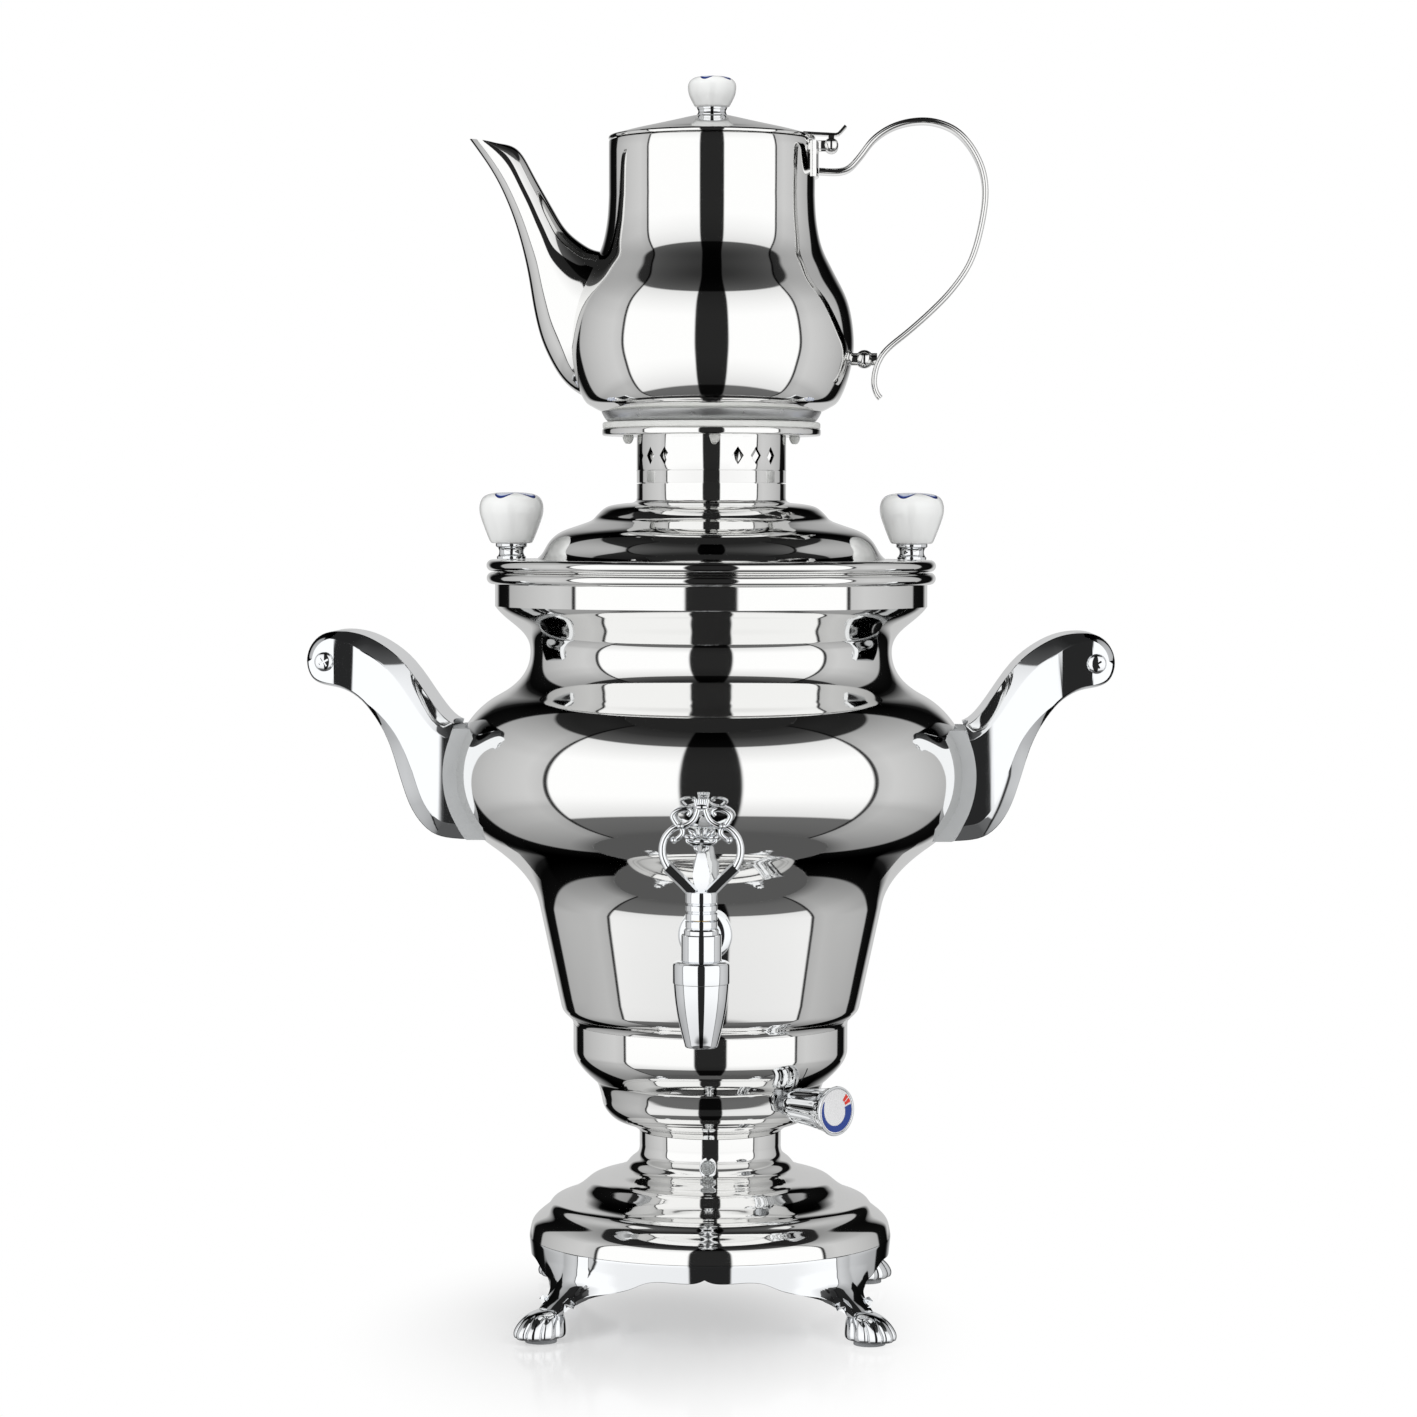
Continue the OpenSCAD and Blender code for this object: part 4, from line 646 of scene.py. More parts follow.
def pan_screw(place):
    """A chromed pan screw with a cross recess, its head towards +Z, placed by a matrix."""
    bm = spun([(0, -14), (1.75, -14), (1.75, -0.02), (3.9, 0), (4, 0.4)]
              + bend((4, 0.5), (3.7, 1.4), (2.2, 1.8), (0, 1.85), 8)[1:], 48)
    slots = [box_at(at(0, 0, 0, turn + 30) @ at(0, 0, 1.5), (4.2, 0.8, 1.6)) for turn in (0, 90)]
    return placed(carved(bm, slots, 25), place)


screws = [pan_screw(at(x, y * NOSE_SCREW_Y, NOSE_SCREW_Z, -90 * y, "X"))
          for x in (-NOSE_SCREW_X, NOSE_SCREW_X) for y in (-1, 1)]
set_out(gather(*screws), "nose_screw_set", chrome_plate, "urn", "nose_screws", 25)


# ---------------------------------------------------------------- tap
# The tap is a chromed casting: barrel, valve block and tapered nozzle, with a rosette against
# the urn. Its pierced key, cast in the old style with scrolls, a bud and a palmette, turns the
# plug by a quarter turn.
TAP_Y, TAP_Z = -122, 167.2
at_tap = at(0, TAP_Y, TAP_Z)
nozzle = spun([(4.5, -5.2), (9.6, -5.2)] + bend((9.8, -5.25), (10.8, -5.5), (11.2, -6), (11.25, -6.8), 5)
              + [(11.25, -13.4), (11.15, -13.9), (10.9, -14.1)]
              + flow([(10.85, -14.8), (10.4, -20), (9.5, -26), (8.2, -32), (6.7, -37.6)], 4, 2)
              + bend((6.5, -38.4), (6.35, -38.9), (6.1, -39.15), (5.7, -39.2), 4)
              + [(4.6, -39.2), (4.5, -38)], 96)
set_out(placed(nozzle, at_tap), "tap_nozzle_turned", chrome_plate, "urn", "tap_nozzle",
        30)

block = spun([(0, -5.2), (7.6, -5.2), (7.9, -4.9), (7.9, 4.9), (7.6, 5.2), (0, 5.2)], 96)
placed(block, at_tap)
pipe = spun([(0, 57.3), (6, 57.3), (6, 72.3), (6.5, 72.3), (6.5, 78.3)]
            + bend((6.5, 78.3), (6.3, 81), (5.1, 83), (5.1, 86.5), 8) + [(5.1, 118), (0, 118)], 72)
placed(pipe, at(0, 0, TAP_Z, 90, "X"))
screw = pan_screw(at(0, TAP_Y - 7.2, TAP_Z - 0.4, 90, "X") @ Matrix.Scale(0.36, 4))
set_out(gather(block, pipe, screw), "tap_body_cast", chrome_plate, "urn", "tap_body", 30)

bonnet = spun([(3.6, 5.25), (6.9, 5.25), (6.9, 6.8), (6.4, 7.4), (5.9, 7.7), (6.3, 8.1), (6.3, 10.3),
               (5.6, 10.8), (3.6, 10.8)], 72)
set_out(placed(bonnet, at_tap), "tap_bonnet_turned", chrome_plate, "urn", "tap_bonnet",
        30)
rosette = spun([(6.55, 68.9), (10.6, 68.9), (11, 69.4), (11, 73.2)]
               + bend((10.9, 73.6), (10.4, 74.6), (9, 75), (6.55, 75.2), 8), 96)
placed(rosette, at(0, 0, TAP_Z, 90, "X"))
piece = set_out(rosette, "tap_rosette_turned", chrome_plate, "urn", "tap_rosette", 30)
cut(piece, spun([(0, 140)] + [(62.8 + 9.2 * (z - 130.2) / 42.8, z) for z in range(140, 180, 4)]
                + [(0, 176)], 240), 30)


def along(points, section, bm):
    """A body through points in the plane y = 0; section gives its outline at a share of its length."""
    rings = []
    for i, p in enumerate(points):
        ahead = Vector(points[min(i + 1, len(points) - 1)]) - Vector(points[max(i - 1, 0)])
        across = Vector((ahead.y, -ahead.x)).normalized()
        rings.append([(p[0] + u * across.x, v, p[1] + u * across.y)
                      for u, v in section(i / (len(points) - 1))])
    stacked(rings, bm)


def bar(points, half_width, half_depth, bm, corner=0.35, fine=1):
    """A bar; its corners are rounded by a share of its thickness."""
    ease = corner * min(half_width, half_depth)
    section = []
    for k, (su, sv) in enumerate(((-1, -1), (1, -1), (1, 1), (-1, 1))):
        for i in range(fine + 1):
            a = math.radians(180 + 90 * k + 90 * i / fine)
            section.append((su * (half_width - ease) + ease * math.cos(a),
                            sv * (half_depth - ease) + ease * math.sin(a)))
    along(points, lambda t: section, bm)


def tendril(points, radii, bm):
    """A round bar that tapers from one radius to the other."""
    turns = [math.tau * k / 14 for k in range(14)]
    along(points, lambda t: [(r * math.sin(a), r * math.cos(a))
                             for r in (radii[0] + (radii[1] - radii[0]) * t,) for a in turns], bm)


def ball(bm, centre, half, turn=None, fine=3):
    """An ellipsoid with its half axes along its own directions."""
    place = at(*centre) @ (turn.to_4x4() if turn is not None else Matrix())
    bmesh.ops.create_icosphere(bm, subdivisions=fine, radius=1,
                               matrix=place @ Matrix.Diagonal([h * MM for h in half] + [1]))


# The key's heights are measured from the foot of its struts, KEY_LOW above the tap's middle.
KEY_LOW = 22.1
key = bmesh.new()
for s in (-1, 1):
    # struts, as square bars, then the round arms of the ring with curled ends
    bar([(s * 3.2, -0.6), (s * 7, 3.4), (s * 13.2, 9.4)], 2.3, 2.3, key)
    arm = flow([(s * 12.6, 8.4), (s * 14.9, 12.8), (s * 15.3, 17.4), (s * 14, 21.4), (s * 11, 24.6),
                (s * 8.2, 25.2), (s * 7.4, 22.8), (s * 8.8, 21), (s * 10.6, 20)], 6, 3)
    tendril(arm, (1.7, 0.9), key)
    ball(key, (s * 10.9, 0, 20), (1.5, 2, 1.4))
    # crown: volutes, side leaves and their stems
    tendril(flow([(s * 8.6, 25), (s * 10.2, 27), (s * 11.4, 29.6), (s * 9.2, 31.6), (s * 6, 32.2),
                  (s * 4.4, 31), (s * 5.4, 29.6)], 6, 3), (1.3, 0.8), key)
    tendril(flow([(s * 1.2, 33.6), (s * 1.8, 30.4), (s * 3.4, 27.4), (s * 6.4, 25.6), (s * 9, 25.2)], 6, 3),
            (1.1, 1.4), key)
    ball(key, (s * 8.3, 0, 25.6), (1.7, 2.2, 1.3))
    # palmette in the ring's upper half
    for reach, lift, lean, size in ((1.4, 23.2, 12, 2.2), (3.4, 22.6, 50, 2.4), (4.8, 21.2, 84, 2.2)):
        ball(key, (s * reach, 0, lift), (1.0, 1.7, size), Matrix.Rotation(math.radians(s * lean), 3, "Y"))
    tendril(flow([(s * 0.6, 18.8), (s * 3.2, 18.4), (s * 5.6, 19.6), (s * 5.2, 21.4)], 6, 2), (1.0, 0.7),
            key)
    ball(key, (s * 2.2, 0, 16.6), (0.9, 1.5, 1.5), Matrix.Rotation(math.radians(s * 28), 3, "Y"))
    ball(key, (s * 1.9, 0, -0.2), (1.5, 2.2, 0.9))
for x in (-2.1, -0.7, 0.7, 2.1):
    tendril([(x * 0.8, 31.6), (x, 34.4), (x * 1.15, 36.1)], (0.9, 0.75), key)
ball(key, (0, 0, 33), (2.7, 1.9, 1.2))
ball(key, (0, 0, 19.6), (3.4, 1.5, 1.1))
# the bud: six flat sides that taper to both ends, in a calyx
bud = spun([(0, -1), (2.3, -1), (3.9, 6.2), (3.6, 8.2), (1.9, 14.6), (1.0, 15.6), (0, 15.8)], 6)
stem = spun([(3.5, 11.1), (6.3, 11.1), (6.3, 13.4), (5.7, 13.8), (5.7, 14.2), (6.3, 14.7), (6.3, 16.6),
             (5.7, 17), (5.7, 17.4), (6.3, 17.8), (6.3, 21.2), (6.0, 21.9), (5.2, 22.2), (0, 22.2),
             (0, 17.1), (3.5, 17.1)], 72)
bmesh.ops.recalc_face_normals(key, faces=key.faces)
pierced = placed(gather(key, placed(bud, at(0, 0, 0, 30))), at(0, 0, KEY_LOW))
set_out(placed(gather(pierced, stem), at_tap), "tap_key_cast", chrome_plate, "tap_key",
        "tap_key", 30)


# ---------------------------------------------------------------- urn lid and its knobs
# The lid is spun with a stepped dome, a collar for the gallery ring and a rolled rim of its own
# that lies on the urn's bead. Two porcelain knobs stand on chromed ferrules.
lid_line = [(90.4, 317.4), (86, 317.5), (82.6, 317.6)]
lid_line += flow([(73.3, 317.8), (70.9, 320.1), (67.7, 325.4), (62.9, 329.3), (54.9, 332.2), (50, 334.1),
                  (47.7, 336.5), (43.7, 339.8), (37.3, 341.1), (33, 341.5), (31.5, 342.4)], 8, 4)
lid_line += [(31.3, 343.4), (31.3, 349.35)]
lid_shell = shell(lid_line, 180)
lid_rim = bead(91.8, 315.2, 2.4)
lid_skirt = spun([(88, 305.4), (88.8, 305.4), (88.8, 317), (88, 317)], 180)
set_out(gather(lid_shell, lid_rim, lid_skirt), "urn_lid_spun", mirror_sheet, "lid",
        "urn_lid")


def painted_porcelain(name, x, z_top, radius):
    """White glazed porcelain with a plain five-petalled flower in blue on its top."""
    material, shader = surface(name, {
        "Roughness": 0.12, "Coat Weight": 0.6, "Coat Roughness": 0.04,
        "Subsurface Weight": 0.08, "Subsurface Radius": (1.0, 1.0, 1.0), "Subsurface Scale": 0.0015})
    place = add(material, "TexCoord")
    centred = add(material, "VectorMath", {0: (place, "Object"), 1: (-x * MM, 0, 0)}, operation="ADD")
    parts = add(material, "SeparateXYZ", {0: (centred, "Vector")})
    flat = add(material, "VectorMath", {0: (centred, "Vector"), 1: (1, 1, 0)}, operation="MULTIPLY")
    reach = add(material, "VectorMath", {0: (flat, "Vector")}, operation="LENGTH")
    angle = add(material, "Math", {0: (parts, "Y"), 1: (parts, "X")}, operation="ARCTAN2")
    wave = add(material, "Math", {0: (angle, 0), 1: 2.5}, operation="MULTIPLY")
    wave = add(material, "Math", {0: (wave, 0)}, operation="SINE")
    wave = add(material, "Math", {0: (wave, 0)}, operation="ABSOLUTE")
    petal = add(material, "Math", {0: (wave, 0), 1: 0.42 * radius * MM, 2: 0.5 * radius * MM},
                operation="MULTIPLY_ADD")
    inside = add(material, "Math", {0: (petal, 0), 1: (reach, "Value")}, operation="SUBTRACT")
    # the brush leaves a dark outline and a thinner wash inside it
    stroke = add(material, "MapRange", {"Value": (inside, 0), "From Min": 0.0, "From Max": 1.6 * MM})
    ink = add(material, "ValToRGB", {"Fac": (stroke, 0)})
    ramp = ink.color_ramp
    ramp.elements[0].position, ramp.elements[0].color = 0.0, linear("#EEEFEE")
    ramp.elements[1].position, ramp.elements[1].color = 1.0, linear("#D8DEEC")
    for position, code in ((0.06, "#1D2A66"), (0.5, "#24357A"), (0.72, "#7C8CC0")):
        ramp.elements.new(position).color = linear(code)
    on_top = add(material, "Math", {0: (parts, "Z"), 1: (z_top - 0.2 * radius) * MM},
                 operation="GREATER_THAN")
    blend = add(material, "Mix", data_type="RGBA",
                inputs={0: (on_top, 0), 6: linear("#EEEFEE"), 7: (ink, "Color")})
    wire(material, shader, {"Base Color": (blend, 2)})
    glaze = add(material, "TexNoise", {"Vector": (place, "Object"), "Scale": 1 / (4 * MM)})
    emboss(material, shader, glaze, 0.3, 0.03)
    return material


LID_KNOB_X = 84
for side, name in ((-1, "left"), (1, "right")):
    swell = flow([(8.7, 324.7), (9.5, 326.2), (11.4, 331), (13, 335.6), (13.45, 338.4), (13.2, 341.2),
                  (11.9, 343.7), (9.2, 345.1), (4.6, 345.7), (0.02, 345.8)], 5, 2)
    knob = placed(spun([(0, 324.4), (8, 324.4)] + swell + [(0, 345.8)], 96), at(side * LID_KNOB_X, 0, 0))
    glazed = painted_porcelain("glazed porcelain, painted, " + name, side * LID_KNOB_X, 345.8, 13.4)
    set_out(knob, name + "_lid_knob_glazed", glazed, "lid", name + "_lid_knob", 60)
ferrule_line = ([(2.1, 317.8), (6.1, 317.8), (6.15, 318.5)]
                + bend((6.1, 318.8), (5, 319.4), (4.6, 321.8), (6.2, 322.8))
                + [(6.5, 323), (6.6, 323.2), (6.6, 324.2), (6.5, 324.39), (2.1, 324.39)])
ferrules = [placed(spun(ferrule_line, 72), at(side * LID_KNOB_X, 0, 0)) for side in (-1, 1)]
set_out(gather(*ferrules), "lid_ferrule_pair", chrome_plate, "lid", "lid_ferrules", 30)


# ---------------------------------------------------------------- gallery ring and its seat
# The gallery ring stands over the lid's steam hole. Groups of three diamond vents let the steam
# out, and a pale silicone ring on its flange carries the teapot.
wall_line = [(29.7, 349.7), (31.2, 349.7), (31.3, 349.9), (31.3, 354.6), (31.45, 354.9), (31.3, 355.2),
             (31.3, 370), (29.7, 370)]
VENT_TURN, VENT_APART, VENT_Z = -52.3, 15.6, 360.9
vents = bmesh.new()
for group in range(4):
    for k in (-1, 0, 1):
        angle = math.radians(VENT_TURN + 90 * group + VENT_APART * k)
        place = Matrix.Rotation(angle, 4, "Z") @ at(27, 0, VENT_Z)
        face = [vents.verts.new(place @ Vector((0, u * MM, v * MM)))
                for u, v in ((0, 3.7), (2.6, 0), (0, -3.7), (-2.6, 0))]
        made = vents.faces.new(face)
        out = bmesh.ops.extrude_face_region(vents, geom=[made])["geom"]
        bmesh.ops.translate(vents, verts=verts_of(out),
                            vec=place.to_3x3() @ Vector((9 * MM, 0, 0)))
bmesh.ops.recalc_face_normals(vents, faces=vents.faces)
plug_ring = spun([(28.9, 344.7), (30, 344.7), (30, 352), (28.9, 352)], 120)
flange = spun([(26, 369.4), (45, 369.4)]
              + bend((45.2, 369.45), (45.7, 369.6), (45.8, 370), (45.8, 370.5), 5)
              + bend((45.8, 371.4), (45.8, 371.9), (45.6, 372.3), (45.1, 372.4), 5) + [(26, 372.4)], 160)
set_out(gather(carved(spun(wall_line, 180), [vents]), flange, plug_ring), "gallery_ring_spun", mirror_sheet,
        "gallery", "gallery_ring")

# Translucent silicone, moulded: pale, soft to the light, with a satin skin
seat_silicone = moulded("translucent silicone, moulded", "#DADBD8", 0.38, 0.8, 0.02, 0.45)
wire(seat_silicone, seat_silicone.node_tree.nodes["Principled BSDF"], {
    "Subsurface Weight": 0.3, "Subsurface Radius": (1.0, 1.0, 1.0), "Subsurface Scale": 0.002})
seat = spun([(31.8, 372.45), (45, 372.45)]
            + bend((45.3, 372.5), (45.6, 372.7), (45.6, 373), (45.6, 373.3), 4)
            + bend((45.6, 374.2), (45.6, 374.7), (45.2, 375.05), (44.6, 375.1), 5)
            + [(32.3, 375.1), (31.8, 374.6)], 120)
plug_line = ([(0, 366.1)] + bend((0.8, 366.1), (1.5, 366.2), (2.2, 367.6), (2.4, 369.1), 8)
             + [(2, 369.2), (2, 372.9), (0, 372.9)])
plugs = [placed(spun(plug_line, 32), at(0, 0, 0, turn) @ at(34.9, 0, 0, -turn))
         for turn in (4, 94, 184, 274)]
set_out(gather(seat, *plugs), "seat_ring_moulded", seat_silicone, "gallery", "seat_ring", 30)


# ---------------------------------------------------------------- teapot
# The teapot is spun from one sheet, with a spout pressed in two halves and welded on, a base
# disc, a strip handle bent from flat bar and a hinged lid.
POT_Z = 379.5
pot_line = flow([(46, POT_Z), (49.4, 381.2), (53.4, 384.3), (57.4, 394.2), (59.6, 407.5), (57.3, 424.4),
                 (50.83, 437.9), (46.03, 447.9), (43.71, 458.9), (43.05, 469.4)], 10, 6)
pot_line += [(43.05, 475), (43.05, 481), (43.05, 487), (43.05, 491.8), (42.9, 492.15), (42.6, 492.3)]
pot_shell = shell(pot_line, 180)
pot_floor = spun([(0, POT_Z + 0.05), (45.6, POT_Z + 0.05), (46.2, 380.3), (0, 380.3)], 120)
set_out(gather(pot_shell, pot_floor), "teapot_body_spun", mirror_sheet, "teapot",
        "teapot_body")
# Base disc of stainless steel, turned satin: a soft grey edge with fine lines
turned_steel = brushed_metal("stainless steel disc, turned satin", "#D3D4D5", 0.3, 0.25)
base = spun([(0, 375.4), (43.2, 375.4), (43.5, 375.5)]
            + bend((43.9, 375.8), (44.6, 376.5), (45.5, 378), (46, 379.3), 8)
            + [(45.9, 379.48), (0, 379.48)], 144)
set_out(base, "teapot_base_turned", turned_steel, "teapot", "teapot_base", 30)

# spout: lower edge, upper edge and half width of each section, from root to mouth
spout_cuts = [(-42, 1.4, -32, 64.8, 17), (-59.5, 9.8, -46.6, 66.8, 17), (-69.5, 25.5, -53.1, 69.4, 14.5),
              (-74.1, 40.8, -61.1, 75.9, 12), (-77.5, 60.8, -67.2, 85.8, 9.6),
              (-83, 80.9, -73.8, 97.2, 7.8), (-90.9, 98.6, -81.1, 109.6, 6.8),
              (-101.4, 113.7, -90.1, 112, 6.2)]
spout_widths = [a[4] + (b[4] - a[4]) * j / 8 for a, b in zip(spout_cuts, spout_cuts[1:]) for j in range(8)]
spout_path = list(zip(flow([section[:4] for section in spout_cuts]),
                      eased(spout_widths + [spout_cuts[-1][4]], 6)))


def spout_ring(section, thin):
    """An oval section of the spout, drawn in by this much all round."""
    edge, width = section
    low, high = Vector((edge[0], 0, POT_Z + edge[1])), Vector((edge[2], 0, POT_Z + edge[3]))
    middle, half = (low + high) / 2, (high - low) / 2
    keep = 1 - thin / half.length
    return [middle + keep * half * math.cos(a) + Vector((0, (width - thin) * math.sin(a), 0))
            for a in (math.tau * k / 48 for k in range(48))]


spout = stacked([spout_ring(s, 0) for s in spout_path])
spout_piece = set_out(spout, "teapot_spout_pressed", mirror_sheet, "teapot",
                      "teapot_spout", 40)
hollow = [spout_ring(s, 0.8) for s in spout_path]
hollow.append([p + Vector((-0.4, 0, 3)) for p in hollow[-1]])
cut(spout_piece, stacked(hollow), 40)
cut(spout_piece, spun([(0, POT_Z - 0.5)] + [(p[0] - 0.1, p[1]) for p in pot_line] + [(0, 493)], 180), 40)

# strip handle: flat bar with rounded edges
BAR_Z, BEAD_DROP = 479.6, 78.1
strip_points = [(44.75, 0), (55.3, 0), (61.4, 5.5), (67.2, 13), (75, 18.2), (84, 20.6), (93, 20.3),
                (102, 16.5), (109.2, 8.2), (113.6, -3), (113.5, -16.6), (108.8, -35.9), (100.9, -48.5),
                (91.6, -58.3), (81.7, -67.1), (75.2, -72.3), (71.2, -76.6), (68.7, -82.1), (67.9, -88.1),
                (69, -92.3), (70.6, -94.4)]
strip_line = flow([(x, BAR_Z + rise) for x, rise in strip_points], 8, 5)
strip = bmesh.new()
bar(strip_line, 1.15, 6.5, strip, 1.0, 6)
lower_ball = bmesh.new()
ball(lower_ball, (63.9, 0, BAR_Z - BEAD_DROP), (3.9, 3.9, 3.9), None, 4)
stub = spun([(0, -6.8), (2.6, -6.8), (2.6, 6.5), (0, 6.5)], 32)
placed(stub, at(62.7, 0, BAR_Z - BEAD_DROP, 90, "Y"))
bmesh.ops.recalc_face_normals(strip, faces=strip.faces)
set_out(gather(strip, lower_ball, stub), "teapot_handle_strip", mirror_sheet, "teapot",
        "teapot_handle", 30)

# bracket: a plate curved to the neck with the hinge's two ears, and the pin's domed ends
HINGE_X, HINGE_Z = 49.8, 490.2
bracket = []
plate = spun([(43.1, BAR_Z - 2.6), (44.4, BAR_Z - 2.6), (44.6, BAR_Z - 2.4), (44.6, HINGE_Z + 1.6),
              (44.4, HINGE_Z + 1.8), (43.1, HINGE_Z + 1.8)], 360)
gone = [f for f in plate.faces if f.calc_center_median().x < 0 or abs(f.calc_center_median().y) > 9.4 * MM]
bmesh.ops.delete(plate, geom=gone, context="FACES")
bmesh.ops.holes_fill(plate, edges=[e for e in plate.edges if e.is_boundary])
bracket.append(plate)
for s in (-1, 1):
    ear = spun([(0, 3.9), (2.7, 3.9), (2.9, 4.1), (2.9, 6.2)]
               + bend((2.9, 6.2), (2.6, 7.4), (1.4, 7.9), (0, 8), 6)[1:], 40)
    placed(ear, at(HINGE_X, 0, HINGE_Z, 90 * s, "X"))
    bracket.append(ear)
    arm = box_at(at(HINGE_X - 2.8, s * 5.4, HINGE_Z), (5.8, 2.4, 3.6))
    bmesh.ops.bevel(arm, geom=arm.edges[:], offset=0.4 * MM, segments=2, profile=0.5, affect="EDGES",
                    material=-1)
    bracket.append(arm)
pin = spun([(0, -4.2), (1.2, -4.2), (1.2, 4.2), (0, 4.2)], 24)
placed(pin, at(HINGE_X, 0, HINGE_Z, 90, "X"))
set_out(gather(*bracket, pin), "teapot_bracket_welded", mirror_sheet, "teapot",
        "teapot_bracket", 30)

# lid: a shallow spun cone with a rolled edge, a skirt inside the neck and a leaf to the hinge
pot_lid_line = [(42.45, 492.6), (43, 492.85), (43.15, 493.2), (43.15, 493.7), (42.9, 494.1)]
pot_lid_line += flow([(42.25, 494.4), (39.75, 495), (33.1, 496.8), (19.8, 499.9), (9.9, 502.3),
                      (6.4, 502.95), (3, 503)], 8, 3)
pot_lid = spun(pot_lid_line + [(0, 503), (0, 502.2), (6.4, 502.15), (9.9, 501.5), (19.8, 499.1),
                               (33.1, 496), (39.75, 494.2), (41.9, 492.8)], 168)
skirt_ring = spun([(39.15, 488.3), (39.95, 488.3), (39.95, 494.4), (39.15, 494.4)], 144)
leaf = bmesh.new()
bar([(38.05, 495.5), (43, 495.2), (48, 494.95), (51.6, 494.75), (52.8, 495.1), (54, 496.3), (55.8, 498.4)],
    0.6, 3.5, leaf)
bmesh.ops.recalc_face_normals(leaf, faces=leaf.faces)
knuckle = spun([(1.25, -3.55), (2.7, -3.55), (2.9, -3.3), (2.9, 3.3), (2.7, 3.55), (1.25, 3.55)], 40)
placed(knuckle, at(HINGE_X, 0, HINGE_Z, 90, "X"))
web = box_at(at(HINGE_X, 0, 493), (2.4, 7, 3.6))
set_out(gather(pot_lid, skirt_ring, leaf, knuckle, web), "teapot_lid_spun", mirror_sheet, "teapot_lid",
        "teapot_lid", 30)

ferrule = spun([(0, 502.9)] + bend((6.2, 502.9), (6.45, 503.2), (5.9, 503.8), (5.8, 504.4), 6)
               + bend((5.8, 504.8), (5.9, 505.2), (6.3, 505.4), (6.3, 505.9), 6)
               + [(6.2, 506.18), (0, 506.18)], 72)
set_out(ferrule, "teapot_lid_ferrule_turned", chrome_plate, "teapot_lid",
        "teapot_lid_ferrule", 30)
pot_knob = spun([(0, 506.22), (6.6, 506.22)]
                + flow([(7.3, 506.7), (8.4, 508.7), (9.7, 511.6), (10.1, 514.8), (9.5, 516.9), (7.5, 518.5),
                        (4, 519.05), (0.02, 519.2)], 5, 2) + [(0, 519.2)], 96)
set_out(pot_knob, "teapot_lid_knob_glazed",
        painted_porcelain("glazed porcelain, painted, teapot", 0, 519.2, 10.1), "teapot_lid",
        "teapot_lid_knob", 60)


# ---------------------------------------------------------------- studio
# A pale floor that runs out into white, a ring of scrims and flags round the object for its
# polished metal to mirror, soft lamps for what isn't metal, and the camera.
floor_paint, shader = surface("white acrylic floor, semi gloss", {
    "Base Color": linear("#F4F4F4"), "Roughness": 0.12, "Specular IOR Level": 0.35})
place = add(floor_paint, "TexCoord")
# painted light and real shade: the floor's own shading and the object's shadow show near a spot a little to
# the left of and in front of the object, so it is greyest there; away from that spot white emission is
# mixed in, a painted light that hides them
centred = add(floor_paint, "Mapping", {"Vector": (place, "Object"), "Location": (0.022, 0.03, 0),
                                       "Scale": (1, 0.66, 1)})
reach = add(floor_paint, "VectorMath", {0: (centred, "Vector")}, operation="LENGTH")
fade = add(floor_paint, "MapRange",
           {"Value": (reach, "Value"), "From Min": 0.03, "From Max": 0.138, "To Min": 0.42},
           interpolation_type="SMOOTHSTEP")
# painted light: white emission that washes out the floor's shade away from that spot
white = add(floor_paint, "Emission", {"Color": (1, 1, 1, 1), "Strength": 1.0})
mix = add(floor_paint, "MixShader", {0: (fade, 0), 1: (shader, 0), 2: (white, 0)})
wire(floor_paint, floor_paint.node_tree.nodes["Material Output"], {"Surface": (mix, 0)})
bm = bmesh.new()
bmesh.ops.create_circle(bm, cap_ends=True, radius=6, segments=96)
floor = stand("floor", meshed(bm, "floor", floor_paint))
floor.visible_glossy = False

# Scrims and flags: brightness by direction round the object, from the camera, and by height.
# The three columns are the front scrims, the side scrims and the rear one.
CAMERA_TURN = math.radians(1.7)
SCRIM_R, SCRIM_LOW, SCRIM_HIGH = 1.5, -2.4, 4.0
share_by_direction = [(0, 0.02, 0, 0), (12.6, 0.02, 0, 0), (13.8, 1, 0, 0), (73.4, 1, 0, 0),
                      (74.2, 0.03, 0, 0), (75.8, 0, 0.03, 0), (76.6, 0, 0.62, 0), (86, 0, 0.68, 0),
                      (100, 0, 0.63, 0), (115, 0, 0.56, 0), (131, 0, 0.47, 0), (133, 0, 0.006, 0),
                      (150, 0, 0, 0.004), (154, 0, 0, 0.02), (158, 0, 0, 0.25), (162, 0, 0, 0.55),
                      (168, 0, 0, 0.8), (174, 0, 0, 0.9), (180, 0, 0, 0.9)]
light_by_height = [(-2.35, 0.10, 0.24, 0), (-1.81, 0.13, 0.52, 0), (-1.42, 0.14, 0.59, 0),
                   (-1.1, 0.15, 0.65, 0), (-0.92, 0.15, 0.70, 0), (-0.86, 0.85, 0.73, 0.45),
                   (-0.6, 0.93, 0.79, 0.5), (-0.42, 1.0, 0.80, 0.55), (-0.24, 1.08, 0.97, 0.65),
                   (-0.1, 1.12, 1, 0.75), (0.25, 1.12, 1, 1.0), (0.45, 1.12, 1, 0.75),
                   (0.75, 1.12, 1, 0.55), (0.92, 1.12, 0.93, 0.5), (1.1, 1.05, 0.9, 0.45),
                   (1.34, 0.97, 0.79, 0.1), (1.6, 0.9, 0.7, 0), (1.80, 0.84, 0.62, 0),
                   (1.86, 0.11, 0.60, 0), (1.92, 0.10, 0.04, 0), (2.3, 0.07, 0.03, 0),
                   (2.85, 0.035, 0.03, 0), (4.0, 0.02, 0.02, 0)]


